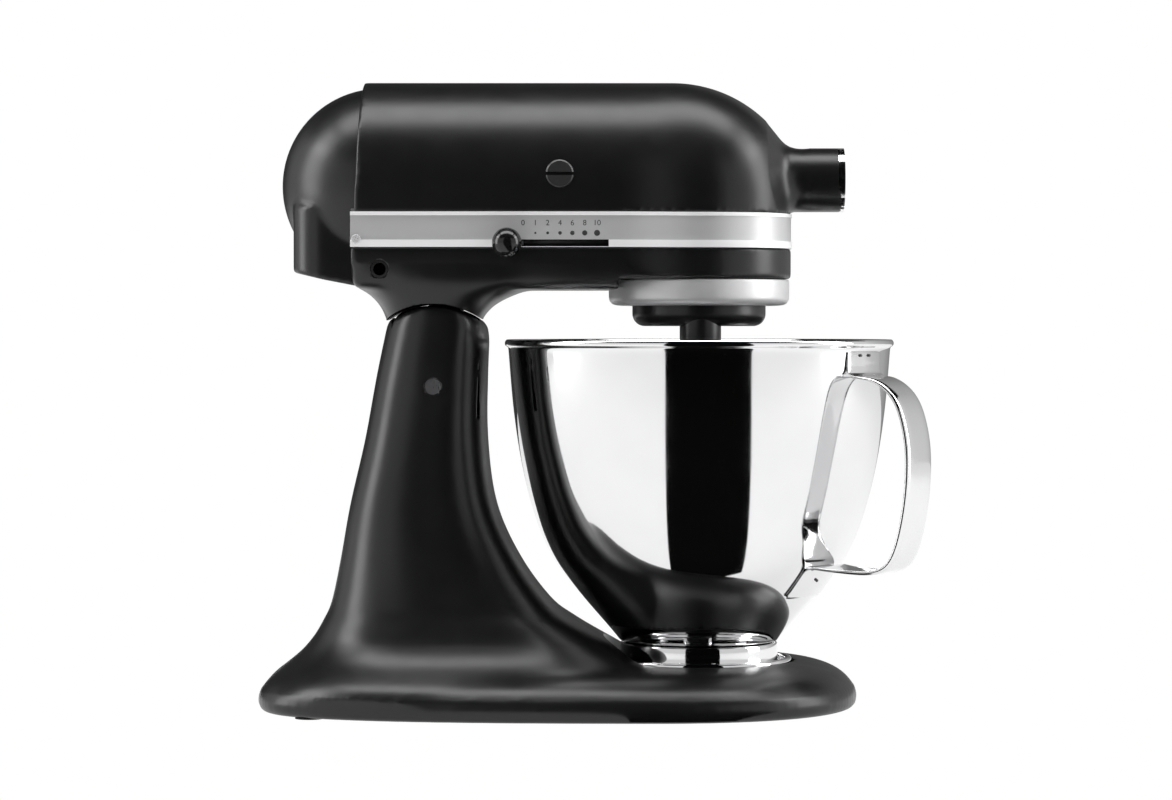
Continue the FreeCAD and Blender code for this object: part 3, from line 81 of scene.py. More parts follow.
def pattern(material, grain, stretch=(1, 1, 1), detail=3.0):
    """A noise whose grains have a real size, drawn out along the axes that have a small stretch."""
    nodes, links = material.node_tree.nodes, material.node_tree.links
    place = nodes.new("ShaderNodeTexCoord")
    draw_out = nodes.new("ShaderNodeMapping")
    draw_out.inputs["Scale"].default_value = stretch
    noise = nodes.new("ShaderNodeTexNoise")
    noise.inputs["Scale"].default_value = 1 / grain
    noise.inputs["Detail"].default_value = detail
    links.new(place.outputs["Object"], draw_out.inputs["Vector"])
    links.new(draw_out.outputs["Vector"], noise.inputs["Vector"])
    return noise.outputs["Fac"]


def rings(material, grain, centre, flatten):
    """A noise in rings about an axis through centre; flatten is 0 along the axis and 1 across it."""
    nodes, links = material.node_tree.nodes, material.node_tree.links
    place = nodes.new("ShaderNodeTexCoord")
    shift = nodes.new("ShaderNodeMapping")
    shift.inputs["Location"].default_value = [-c * f for c, f in zip(centre, flatten)]
    shift.inputs["Scale"].default_value = flatten
    reach = nodes.new("ShaderNodeVectorMath")
    reach.operation = "LENGTH"
    noise = nodes.new("ShaderNodeTexNoise")
    noise.noise_dimensions = "1D"
    noise.inputs["Scale"].default_value = 1 / grain
    links.new(place.outputs["Object"], shift.inputs["Vector"])
    links.new(shift.outputs["Vector"], reach.inputs[0])
    links.new(reach.outputs["Value"], noise.inputs["W"])
    return noise.outputs["Fac"]


def vary(material, shader, socket, noise, low, high):
    """Let a noise, which mostly stays between 0.3 and 0.7, move one of the shader's numbers."""
    nodes, links = material.node_tree.nodes, material.node_tree.links
    spread = nodes.new("ShaderNodeMapRange")
    spread.inputs["From Min"].default_value = 0.3
    spread.inputs["From Max"].default_value = 0.7
    spread.inputs["To Min"].default_value = low
    spread.inputs["To Max"].default_value = high
    links.new(noise, spread.inputs["Value"])
    links.new(spread.outputs["Result"], shader.inputs[socket])


def tint(material, shader, noise, dark, light):
    """Let a noise move the colour between two near shades."""
    nodes, links = material.node_tree.nodes, material.node_tree.links
    blend = nodes.new("ShaderNodeMix")
    blend.data_type = "RGBA"
    blend.inputs["A"].default_value = (*dark, 1)
    blend.inputs["B"].default_value = (*light, 1)
    links.new(noise, blend.inputs["Factor"])
    links.new(blend.outputs["Result"], shader.inputs["Base Color"])


def relief(material, shader, noise, depth, strength=1.0):
    """Fine bumps of a real depth."""
    nodes, links = material.node_tree.nodes, material.node_tree.links
    bump = nodes.new("ShaderNodeBump")
    bump.inputs["Distance"].default_value = depth
    bump.inputs["Strength"].default_value = strength
    links.new(noise, bump.inputs["Height"])
    links.new(bump.outputs["Normal"], shader.inputs["Normal"])


def clad(material, *nodes):
    """Give CAD nodes a finish."""
    for node in nodes:
        for slot in frame["nodes"][node].material_slots:
            slot.material = material


def satin_enamel(name, shade, gloss):
    """Sprayed enamel, a little cloudy in shade and gloss, with a faint peel."""
    material, shader = new_material(name, Specular_IOR_Level=gloss)
    tint(material, shader, pattern(material, 45 * MM), [0.85 * c for c in shade], [1.15 * c for c in shade])
    vary(material, shader, "Roughness", pattern(material, 12 * MM), 0.30, 0.34)
    relief(material, shader, pattern(material, 0.9 * MM, detail=2.0), 0.012 * MM)
    return material


black_enamel = satin_enamel("satin_black_enamel", (0.0052, 0.0052, 0.0054), 0.5)


def placed(bm, name):
    """An object in the scene that takes over a bmesh."""
    mesh = bpy.data.meshes.new(name)
    bm.to_mesh(mesh)
    bm.free()
    thing = bpy.data.objects.new(name, mesh)
    bpy.context.scene.collection.objects.link(thing)
    return thing


def finished(bm, name, body, material, nodes=(), smooth=2):
    """A named piece from a bmesh. It rides on a body, and stands for CAD nodes."""
    piece = placed(bm, name)
    piece.data.shade_smooth()
    piece.data.materials.append(material)
    if smooth:
        rounding = piece.modifiers.new("rounding", "SUBSURF")
        rounding.levels = rounding.render_levels = smooth
    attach(piece, body)
    if nodes:
        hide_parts(*nodes)
    return piece


def enamelled(bm, name, body, nodes=()):
    """A casting with its enamel on."""
    return finished(bm, name, body, black_enamel, nodes, smooth=0)


def middle(node):
    """The middle of a node's box."""
    low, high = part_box(node)
    return (Vector(low) + Vector(high)) / 2


def lowest(node):
    """The middle of a node's lowest level."""
    point = middle(node)
    point.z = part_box(node)[0][2]
    return point


bowl_axis = lowest("bowl_clamp_plate")
FRONT_SQUARE = 2.2


def superellipse(height, back, front, half, power, bow=0.0, sides=128):
    """A level ring between back and front, as wide as twice half. With a bow its front is squarer too."""
    ring = []
    for i in range(sides):
        run, side = math.cos(math.tau * i / sides), math.sin(math.tau * i / sides)
        squareness = power + (FRONT_SQUARE if bow and run > 0 else 0)
        across = math.copysign(abs(run) ** (2 / squareness), run)
        aside = math.copysign(abs(side) ** (2 / squareness), side)
        sag = bow * aside ** 2 * max(run, 0) ** 0.3
        ring.append(Vector(((back + front) / 2 + (front - back) / 2 * across - sag, half * aside, height)))
    return ring


def between(rows, steps):
    """More rows, on smooth curves through the given ones."""
    finer = []
    padded = [rows[0], *rows, rows[-1]]
    for a, b, c, d in zip(padded, padded[1:], padded[2:], padded[3:]):
        for i in range(steps):
            share = i / steps
            finer.append([0.5 * (2 * q + (r - p) * share + (2 * p - 5 * q + 4 * r - s) * share ** 2
                                 + (3 * q - p - 3 * r + s) * share ** 3) for p, q, r, s in zip(a, b, c, d)])
    return finer + [list(rows[-1])]


def skinned(bm, rings):
    """A closed solid through rings of points, in millimetres."""
    loops = []
    for points in rings:
        ring = [bm.verts.new(point * MM) for point in points]
        loops.append([bm.edges.new(pair) for pair in zip(ring, ring[1:] + ring[:1])])
    for near, far in zip(loops, loops[1:]):
        bmesh.ops.bridge_loops(bm, edges=near + far)
    for end in (loops[0], loops[-1]):
        bmesh.ops.edgeloop_fill(bm, edges=end)
    bmesh.ops.recalc_face_normals(bm, faces=bm.faces)


def as_shaped(piece):
    """A new mesh of a piece as its modifiers leave it."""
    return bpy.data.meshes.new_from_object(piece.evaluated_get(bpy.context.evaluated_depsgraph_get()))


def ease(bm, verts, rounds):
    """Round off whatever is sharp, a little more with each round."""
    for _ in range(rounds):
        bmesh.ops.smooth_vert(bm, verts=verts, factor=0.5, use_axis_x=True, use_axis_y=True, use_axis_z=True)


def cast(bm, grain, rounds):
    """One casting from overlapping solids: its skin is made anew with a grain, and its edges are eased."""
    pattern_piece = placed(bm, "pattern")
    fuse = pattern_piece.modifiers.new("fuse", "REMESH")
    fuse.mode = "VOXEL"
    fuse.voxel_size = grain * MM
    fused = as_shaped(pattern_piece)
    bpy.data.objects.remove(pattern_piece)
    skin = bmesh.new()
    skin.from_mesh(fused)
    ease(skin, skin.verts, rounds)
    return skin


def within_round(points, centre, radius):
    """Points that lie beyond a round about Y are brought back onto it."""
    moved = []
    for point in points:
        reach = Vector((point.x - centre.x, 0, point.z - centre.z))
        moved.append(point + reach.normalized() * (radius - reach.length) if reach.length > radius else point)
    return moved


# height, back, front, half width, squareness and front bow of the column
COLUMN = [
    (12, -181, 38, 101, 3.0, 4), (18, -180, 35, 96.5, 3.0, 5), (24, -175.5, 29, 88, 3.0, 6),
    (30, -168, 22, 79.5, 3.0, 7), (36, -162.5, 12.5, 74, 2.95, 8), (42, -158, 2, 70, 2.9, 9),
    (50, -153.5, -11, 66, 2.9, 9), (60, -149, -24, 61.5, 2.9, 9), (84, -144, -41.5, 54, 2.8, 9),
    (115, -138.5, -55.4, 48.5, 2.8, 9), (152, -130, -60.5, 45.5, 2.8, 9), (190, -123, -60.5, 46, 2.8, 8),
    (232, -114, -58.5, 47, 2.8, 7),
]
head_tilt = next(joint for joint in frame["record"]["behaviour"]["joints"] if joint["name"] == "head_tilt")
hinge = Vector(head_tilt["pos_m"])
hinge_mm = hinge / MM
COLUMN_ROUND, ROUND_FROM = 45.0, 12.0
base_low, base_high = (Vector(corner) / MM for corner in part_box("pedestal"))
BASE_WAIST, TAIL_TAPER = 30.0, 17.0
NOSE_SQUARE, TAIL_SQUARE = 2.3, 4.5


def base_ring(height, inset, sides=160):
    """The base from above: a round nose, a slight taper to the tail, and round tail corners."""
    nose, tail, half = base_high.x - BASE_WAIST, BASE_WAIST - base_low.x, base_high.y
    ring = []
    for i in range(sides):
        run, side = math.cos(math.tau * i / sides), math.sin(math.tau * i / sides)
        power, reach = (NOSE_SQUARE, nose) if run > 0 else (TAIL_SQUARE, tail)
        across = math.copysign(abs(run) ** (2 / power), run)
        aside = math.copysign(abs(side) ** (2 / power), side)
        narrow = TAIL_TAPER * min(across, 0) ** 2
        ring.append(Vector((BASE_WAIST + (reach - inset) * across, (half - narrow - inset) * aside, height)))
    return ring


# height and inset of the base's rounded edge and its deck
stand_blank = bmesh.new()
edge_rows = [(0.7, 3.2), (3, 1.0), (6.4, 0.1), (10.5, 0.7), (15, 3.0), (18.5, 6.4), (21.5, 11), (24, 17.5),
             (25.6, 26), (26.3, 38), (26.5, 50)]
skinned(stand_blank, [base_ring(height, inset) for height, inset in between(edge_rows, 3)])
column_rings = [superellipse(*row) for row in between(COLUMN, 5)]
top_ring = column_rings[-1]
column_rings += [[Vector((p.x, p.y * share, p.z)) for p in top_ring] for share in (0.8, 0.5, 0.2, 0.02)]
round_low = hinge_mm.z + ROUND_FROM
skinned(stand_blank, [within_round(ring, hinge_mm, COLUMN_ROUND) if ring[0].z > round_low else ring
                      for ring in column_rings])
stand_skin = cast(stand_blank, grain=1.9, rounds=6)
FLARE_LOW, FLARE_HIGH = 13, 40
foot_of_column = [v for v in stand_skin.verts if FLARE_LOW * MM < v.co.z < FLARE_HIGH * MM]
ease(stand_skin, foot_of_column, rounds=30)
stand_piece = enamelled(stand_skin, "stand_casting", "stand", ["pedestal"])


def bored(piece, cutter):
    """Take a closed cutter out of a finished piece."""
    bmesh.ops.recalc_face_normals(cutter, faces=cutter.faces)
    tool = placed(cutter, "cutter")
    bore = piece.modifiers.new("bore", "BOOLEAN")
    bore.object = tool
    bore.solver = "EXACT"
    cut = as_shaped(piece)
    piece.modifiers.remove(bore)
    old = piece.data
    piece.data = cut
    cut.name = piece.name
    bpy.data.meshes.remove(old)
    bpy.data.objects.remove(tool)


def box_of(bm, low, high):
    """A rectangular block between two corners, in millimetres."""
    low, high = Vector(low) * MM, Vector(high) * MM
    stretched = Matrix.Diagonal((*(high - low), 1))
    bmesh.ops.create_cube(bm, size=1, matrix=Matrix.Translation((low + high) / 2) @ stretched)


def pointing(along):
    """The turn that brings the Z axis onto a direction."""
    return Vector((0, 0, 1)).rotation_difference(Vector(along)).to_matrix().to_4x4()


def rod_of(bm, centre, along, radius, length, segments=48):
    """A round bar about a point, in millimetres."""
    bmesh.ops.create_cone(bm, cap_ends=True, segments=segments, radius1=radius * MM, radius2=radius * MM,
                          depth=length * MM, matrix=Matrix.Translation(Vector(centre) * MM) @ pointing(along))


# the seat of the clamp dish, from the deck up
DECK, SEAT_RADIUS, SEAT_ROOM = 22.0, 54.2, 40.0
seat = bmesh.new()
rod_of(seat, (bowl_axis.x / MM, bowl_axis.y / MM, DECK + SEAT_ROOM / 2), (0, 0, 1), SEAT_RADIUS, SEAT_ROOM,
       segments=128)
bored(stand_piece, seat)
# the mouth in the column's top for the head's tongue, measured from the hinge
MOUTH_BACK, MOUTH_FRONT, MOUTH_HALF, MOUTH_DEPTH, MOUTH_TOP = 23.5, 25.5, 31.5, 18, 80
mouth = bmesh.new()
box_of(mouth, (hinge_mm.x - MOUTH_BACK, -MOUTH_HALF, hinge_mm.z - MOUTH_DEPTH),
       (hinge_mm.x + MOUTH_FRONT, MOUTH_HALF, hinge_mm.z + MOUTH_TOP))
bored(stand_piece, mouth)
# the hinge pin's bore through both sides
PIN_RADIUS, PIN_END, PIN_BORE_LENGTH = 4.5, 49, 9
for side in (-1, 1):
    pin_bore = bmesh.new()
    rod_of(pin_bore, (hinge_mm.x, side * PIN_END, hinge_mm.z), (0, 1, 0), PIN_RADIUS, PIN_BORE_LENGTH)
    bored(stand_piece, pin_bore)

# ---- Head castings ------------------------------------------------------------------------------------
# Two more zinc castings meet behind the trim band: the round-topped motor cover with the hub's collar, and
# the arm with its neck, which hangs on the hinge pin by a tongue. They are sprayed with the same enamel.

band_low, band_high = (Vector(corner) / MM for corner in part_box("trim_band"))
head_low, head_high = (Vector(corner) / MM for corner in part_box("upper_housing"))
HEAD_HALF, NOSE_RADIUS, NOSE_START = 59.0, 52.0, 10.0
CROWN_START, CROWN_RADIUS, CROWN_FALL = 44.0, 76.0, 41.0
BEHIND_BAND = 6.0
lowest_spring = band_high.z + 1.5
nose_x = bowl_axis.x / MM


def half_at(x):
    """Half the head's width, which narrows from the motor to the round nose."""
    if x <= NOSE_START:
        return HEAD_HALF
    if x >= nose_x:
        return math.sqrt(max(NOSE_RADIUS ** 2 - (x - nose_x) ** 2, 0))
    ease_in = 0.5 + 0.5 * math.cos(math.pi * (x - NOSE_START) / (nose_x - NOSE_START))
    return NOSE_RADIUS + (HEAD_HALF - NOSE_RADIUS) * ease_in


def head_section(x):
    """The head's outline across X: straight sides, half an ellipse over the top, and a flat bottom."""
    run = max(x - CROWN_START, 0)
    crown = head_high.z - CROWN_RADIUS + math.sqrt(CROWN_RADIUS ** 2 - run ** 2)
    fall = (head_high.z - crown) / CROWN_FALL
    spring = head_high.z - HEAD_HALF + (lowest_spring - head_high.z + HEAD_HALF) * fall
    half, low = half_at(x), band_high.z
    arc = [math.pi * i / 64 for i in range(65)]
    points = [Vector((x, half * math.cos(a), spring + (crown - spring) * math.sin(a))) for a in arc]
    points += [Vector((x, -half, spring + (low - spring) * i / 12)) for i in range(1, 13)]
    points += [Vector((x, -half + half * i / 12, low)) for i in range(1, 24)]
    points += [Vector((x, half, low + (spring - low) * i / 12)) for i in range(12)]
    return points


def head_plan(height, inset=0.0, widest=HEAD_HALF):
    """The head's outline from above, no wider than twice widest."""
    arc = [math.radians(90 - 180 * i / 60) for i in range(61)]
    radius = NOSE_RADIUS - inset
    nose = [Vector((nose_x + radius * math.cos(a), radius * math.sin(a), height)) for a in arc]
    side_x = [NOSE_START + (nose_x - NOSE_START) * i / 16 for i in range(16)]
    near = [Vector((x, half_at(x) - inset, height)) for x in side_x]
    back = [Vector((head_low.x, near[0].y * (1 - i / 8), height)) for i in range(17)]
    points = near + nose + [Vector((p.x, -p.y, p.z)) for p in reversed(near)] + list(reversed(back))
    return [Vector((p.x, max(-widest, min(widest, p.y)), p.z)) for p in points]


# the rear edge leans forward a little as it rises
head_blank = bmesh.new()
HEAD_BACK, LEAN = head_low.x + 2.0, 0.035
stations = [HEAD_BACK + (NOSE_START - HEAD_BACK) * i / 6 for i in range(6)]
stations += [NOSE_START + (nose_x - NOSE_START) * i / 20 for i in range(20)]
stations += [nose_x + NOSE_RADIUS * math.sin(math.radians(angle)) for angle in range(0, 84, 3)]
sections = [head_section(x) for x in stations]
sections[0] = [Vector((p.x + LEAN * (p.z - band_high.z), p.y, p.z)) for p in sections[0]]
skinned(head_blank, sections)
hub = middle("hub_cover") / MM
COLLAR_RADIUS, COLLAR_START = 18.1, 86
rod_of(head_blank, ((COLLAR_START + head_high.x) / 2, 0, hub.z), (1, 0, 0), COLLAR_RADIUS,
       head_high.x - COLLAR_START, segments=96)
head_skin = cast(head_blank, grain=1.25, rounds=3)
FILLET_START, FILLET_END, FILLET_REACH = 97, 121, 34


def at_collar_root(point):
    """Whether a point is where the collar grows out of the nose."""
    off_axis = Vector((0, point.y, point.z)) / MM - Vector((0, 0, hub.z))
    beside = FILLET_START < point.x / MM < FILLET_END
    return beside and off_axis.length < FILLET_REACH and point.z / MM > lowest_spring


ease(head_skin, [v for v in head_skin.verts if at_collar_root(v.co)], rounds=110)
head_piece = enamelled(head_skin, "motor_cover", "head", ["upper_housing"])
COVER_REBATE_LOW, ARM_REBATE_HIGH, REBATE_OVERLAP = 269.0, 268.9, 2
core = bmesh.new()
skinned(core, [head_plan(height, BEHIND_BAND) for height in (COVER_REBATE_LOW, band_high.z + REBATE_OVERLAP)])
enamelled(core, "motor_cover_rebate", "head")
HUB_BORE_RADIUS, HUB_BORE_LENGTH, HUB_BORE_BACK = 12.75, 40, 13
hub_bore = bmesh.new()
rod_of(hub_bore, (hub.x - HUB_BORE_BACK, 0, hub.z), (1, 0, 0), HUB_BORE_RADIUS, HUB_BORE_LENGTH, segments=96)
bored(head_piece, hub_bore)

ARM_UNDER, SIDE_STEP, SIDE_ROUND, ARM_FRONT = 236.0, 258.0, 9, 13.0
DRUM_LOW, RING_ROOM = 242.0, 52.35
# height, back, front, half width and squareness of the neck
NECK = [
    (212, -117.5, -64, 47, 2.8), (219, -117.8, -64, 48, 2.9), (225, -120, -60, 50, 3.0),
    (230, -123.5, -53, 52.5, 3.2), (235, -129, -41.5, 55.5, 3.6), (240, -133.6, -27, 58, 4.0),
    (245, -134.2, -15, 58.8, 4.4),
]


def side_at(height):
    """Half the arm's width as its sides round in to the underside."""
    drop = min((SIDE_STEP - height) / (SIDE_STEP - ARM_UNDER), 1)
    return HEAD_HALF - SIDE_ROUND * (1 - math.sqrt(max(1 - drop ** 2, 0)))


def arm_ring(height):
    """The arm from above, with its front hollowed round the drip ring."""
    half = side_at(height)
    across = [half * (1 - i / 16) for i in range(33)]
    front = []
    for y in across:
        hollow = nose_x - math.sqrt(max(RING_ROOM ** 2 - y ** 2, 0))
        front.append(Vector((min(ARM_FRONT, hollow), y, height)))
    back = [Vector((head_low.x, y, height)) for y in reversed(across)]
    return front + back


arm_blank = bmesh.new()
levels = [DRUM_LOW, 244, 247, 250, 253, 256, SIDE_STEP, band_low.z]
skinned(arm_blank, [head_plan(height, widest=side_at(height)) for height in levels])
skinned(arm_blank, [arm_ring(height) for height in (ARM_UNDER, 236.8, 238, 240, 243, 246, 250)])
skinned(arm_blank, [superellipse(*row) for row in between(NECK, 3)])
arm_skin = cast(arm_blank, grain=1.3, rounds=4)
BEND_LOW, BEND_HIGH, BEND_FRONT = 221, 250, 10
bend = [v for v in arm_skin.verts if BEND_LOW < v.co.z / MM < BEND_HIGH and v.co.x < BEND_FRONT * MM]
ease(arm_skin, bend, rounds=40)
arm_piece = enamelled(arm_skin, "arm_casting", "head", ["lower_housing"])
# the neck's underside is a round about the hinge, just clear of the column's top
NECK_GAP, ACROSS_HEAD = 1.0, 200
column_room = bmesh.new()
rod_of(column_room, hinge_mm, (0, 1, 0), COLUMN_ROUND + NECK_GAP, ACROSS_HEAD, segments=128)
bored(arm_piece, column_room)
# a slot for the lock's catch, cut at each of some angles up to the full tilt
catch_low, catch_high = (Vector(corner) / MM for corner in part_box("lock_catch"))
catch_gap = Vector((1.5, 1.5, 1.5))
for tilt in (0, 6, 12, 18, 23):
    catch_room = bmesh.new()
    box_of(catch_room, catch_low - catch_gap, catch_high + catch_gap)
    tilted = Matrix.Rotation(math.radians(tilt), 3, "Y")
    bmesh.ops.rotate(catch_room, verts=catch_room.verts, cent=hinge, matrix=tilted)
    bored(arm_piece, catch_room)
arm_core = bmesh.new()
skinned(arm_core, [head_plan(height, BEHIND_BAND)
                   for height in (band_low.z - REBATE_OVERLAP, ARM_REBATE_HIGH)])
enamelled(arm_core, "arm_rebate", "head")
# the tongue hangs from the arm and turns on the pin
TONGUE_ROUND, TONGUE_HALF, TONGUE_BACK, TONGUE_LOW, TONGUE_HIGH = 15, 30, 3, 4, 50
tongue = bmesh.new()
rod_of(tongue, (hinge_mm.x, 0, hinge_mm.z), (0, 1, 0), TONGUE_ROUND, 2 * TONGUE_HALF, segments=64)
box_of(tongue, (hinge_mm.x - TONGUE_BACK, -TONGUE_HALF, hinge_mm.z + TONGUE_LOW),
       (hinge_mm.x + TONGUE_ROUND, TONGUE_HALF, hinge_mm.z + TONGUE_HIGH))
enamelled(cast(tongue, grain=1.5, rounds=3), "hinge_tongue", "head")
GLAND_BORE_RADIUS, GLAND_BORE_LENGTH, GLAND_BORE_OUT = 5.1, 30, 6
gland = middle("cord_gland") / MM
gland_bore = bmesh.new()
rod_of(gland_bore, (gland.x, gland.y - GLAND_BORE_OUT, gland.z), (0, 1, 0), GLAND_BORE_RADIUS,
       GLAND_BORE_LENGTH)
bored(arm_piece, gland_bore)

# ---- Rear cover ---------------------------------------------------------------------------------------
# A ball-ended zinc cover with a flat skirt over the vents, held by one screw at the back. It is cast and
# sprayed like the head, and stands a few millimetres inside the head's outline.

cover_low = Vector(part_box("rear_cover")[0]) / MM
BALL, BALL_X, BALL_Z, BALL_OVERLAP = 55.7, -121.3, 294.4, 8
SKIRT_HALF, SKIRT_ROUND, SKIRT_TOP, SKIRT_OVERLAP, SKIRT_RISE = 43.5, 17.0, 284.0, 4, 0.24
SCREW_PROUD = 1.2
skirt_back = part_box("rear_cover_screw")[0][0] / MM + SCREW_PROUD


def skirt_ring(height, inset=0.0):
    """The skirt from above: a straight back with round corners."""
    half, bend = SKIRT_HALF - inset, SKIRT_ROUND
    corner = [math.radians(90 + 90 * i / 16) for i in range(17)]
    bend_x, bend_y = skirt_back + bend, half - bend
    near = [Vector((bend_x + bend * math.cos(a), bend_y + bend * math.sin(a), height)) for a in corner]
    far = [Vector((p.x, -p.y, p.z)) for p in reversed(near)]
    front = [Vector((head_low.x + SKIRT_OVERLAP, -half + 2 * half * i / 12, height)) for i in range(13)]
    return near + far + front


cover_blank = bmesh.new()
bmesh.ops.create_uvsphere(cover_blank, u_segments=160, v_segments=80, radius=BALL * MM,
                          matrix=Matrix.Translation(Vector((BALL_X, 0, BALL_Z)) * MM))
ball = cover_blank.verts[:] + cover_blank.edges[:] + cover_blank.faces[:]
cut = bmesh.ops.bisect_plane(cover_blank, geom=ball, plane_co=((head_low.x + BALL_OVERLAP) * MM, 0, 0),
                             plane_no=(1, 0, 0), clear_outer=True)
open_edge = [item for item in cut["geom_cut"] if isinstance(item, bmesh.types.BMEdge)]
bmesh.ops.edgeloop_fill(cover_blank, edges=open_edge)
under = []
for point in skirt_ring(cover_low.z):
    rise = max(head_low.x - point.x, 0) * SKIRT_RISE
    under.append(Vector((point.x, point.y, cover_low.z + rise)))
SKIRT_EDGE = 3
skirt_rings = [under] + [skirt_ring(height) for height in (248, 256, 264, SKIRT_TOP - SKIRT_EDGE)]
skirt_rings += [skirt_ring(SKIRT_TOP, SKIRT_EDGE)]
skinned(cover_blank, skirt_rings)
enamelled(cast(cover_blank, grain=1.2, rounds=4), "tail_cover", "head", ["rear_cover"])

# ---- Feet and cord gland ----------------------------------------------------------------------------
# Five pads of black rubber pressed into the base's sockets, and a rubber gland in the arm's side where a lead
# would enter. Moulded rubber is dull, with a fine grain and a bloom of dust.

rubber, rubber_shader = new_material("black_rubber", Specular_IOR_Level=0.3)
tint(rubber, rubber_shader, pattern(rubber, 6 * MM), (0.012, 0.012, 0.012), (0.022, 0.021, 0.02))
vary(rubber, rubber_shader, "Roughness", pattern(rubber, 2 * MM), 0.7, 0.9)
relief(rubber, rubber_shader, pattern(rubber, 0.4 * MM), 0.03 * MM)
clad(rubber, "rubber_feet", "cord_gland")

# ---- Bowl clamp -------------------------------------------------------------------------------------
# A polished steel dish screwed down in the deck. The bowl's foot turns under the three hooks on its rim.


def polished(name, ring_centre, flatten, low=0.035, high=0.075):
    """Buffed stainless steel: fine turned lines, with the faint smears of handling."""
    material, shader = new_material(name, Metallic=1.0)
    tint(material, shader, pattern(material, 25 * MM), (0.80, 0.80, 0.805), (0.86, 0.86, 0.865))
    vary(material, shader, "Roughness", pattern(material, 18 * MM), low, high)
    relief(material, shader, rings(material, 0.35 * MM, ring_centre, flatten), 0.0012 * MM, 0.6)
    return material


def outline_spun(outline, steps=48):
    """A bmesh of an outline of (radius, height) spun about Z. It is closed, or ends on the axis."""
    bm = bmesh.new()
    corners = [bm.verts.new((radius, 0, height)) for radius, height in outline]
    on_axis = outline[0][0] == 0 and outline[-1][0] == 0
    followers = corners[1:] if on_axis else corners[1:] + corners[:1]
    edges = [bm.edges.new(pair) for pair in zip(corners, followers)]
    bmesh.ops.spin(bm, geom=corners + edges, cent=(0, 0, 0), axis=(0, 0, 1), angle=math.tau, steps=steps,
                   use_merge=True)
    bmesh.ops.remove_doubles(bm, verts=bm.verts, dist=1e-6)
    bmesh.ops.recalc_face_normals(bm, faces=bm.faces)
    return bm


def in_metres(outline):
    """An outline that was given in millimetres."""
    return [(radius * MM, height * MM) for radius, height in outline]


def turned(name, body, material, outline, place, nodes=(), along=(0, 0, 1), smooth=2, steps=48):
    """A turned piece on an axis through place: its outline is (radius, height) in millimetres."""
    bm = outline_spun(in_metres(outline), steps)
    bmesh.ops.transform(bm, matrix=Matrix.Translation(place) @ pointing(along), verts=bm.verts)
    return finished(bm, name, body, material, nodes, smooth)


steel = polished("polished_steel", bowl_axis, (1, 1, 0))
clamp_outline = [(0, 0.05), (20, 0.05), (51.8, 0.05), (52.7, 0.4), (52.9, 1.4), (52.9, 4.8), (52.5, 5.9),
                 (51.4, 6.3), (50.2, 6.2), (49.3, 5.6), (48.9, 4.4), (48.7, 2.0), (47.9, 1.2), (46, 1.0),
                 (20, 1.0), (0, 1.0)]
turned("clamp_dish", "stand", steel, clamp_outline, bowl_axis, ["bowl_clamp_plate"])
hook_outline = [(45.7, 4.8), (49.4, 4.8), (49.4, 6.2), (45.9, 6.2)]
hook_half_angle = math.radians(12)
hooks = bmesh.new()
for angle in (27, 147, 267):
    section = [hooks.verts.new((radius, 0, height)) for radius, height in in_metres(hook_outline)]
    face = hooks.faces.new(section)
    start = Matrix.Rotation(math.radians(angle) - hook_half_angle, 3, "Z")
    bmesh.ops.rotate(hooks, verts=section, cent=(0, 0, 0), matrix=start)
    bmesh.ops.spin(hooks, geom=[face], cent=(0, 0, 0), axis=(0, 0, 1), angle=2 * hook_half_angle, steps=8)
bmesh.ops.recalc_face_normals(hooks, faces=hooks.faces)
bmesh.ops.translate(hooks, vec=bowl_axis, verts=hooks.verts)
finished(hooks, "clamp_hooks", "stand", steel, smooth=0)

# ---- Bowl --------------------------------------------------------------------------------------------
# Deep-drawn stainless steel, mirror polished outside, with a rolled rim and a low dome in the floor. The foot
# is a separate ring, pressed and welded on, and its flared edge turns under the clamp's hooks.

bowl_floor = lowest("bowl_shell")
bowl_floor.x, bowl_floor.y = bowl_axis.x, bowl_axis.y
bowl_outline = [
    (0, 6.2), (14, 5.2), (26, 2.2), (34, 1.3), (41, 1.6), (46, 4.6), (54.6, 13.2), (61.6, 20.8), (69, 29.2),
    (75.2, 37.2), (80.8, 45), (85.1, 53.2), (89.4, 63), (93.2, 75), (96.1, 85.2), (98.3, 95), (100.3, 105),
    (102, 115), (103.4, 125), (104.6, 135), (105.5, 145), (106.3, 155), (106.9, 163), (107, 168),
    (107.4, 170.2), (108.4, 171.2), (109.6, 170.9), (110.4, 169.6), (110.4, 168.2), (109.7, 167.2),
    (108.6, 166.9), (108.3, 165.6), (108.1, 163), (107.5, 155), (106.7, 145), (105.8, 135), (104.6, 125),
    (103.2, 115), (101.5, 105), (99.5, 95), (97.3, 85), (94.5, 75), (90.7, 63.2), (86.4, 53.4), (82, 45.2),
    (76.5, 37.4), (70.2, 29.5), (63, 21.2), (56, 13.6), (49.6, 6.4), (46.4, 2.6), (44.9, 0.5), (43, 0.05),
    (34, 0.05), (26, 0.9), (14, 3.9), (0, 5.0),
]
turned("steel_bowl", "bowl", steel, bowl_outline, bowl_floor, ["bowl_shell"], steps=64)

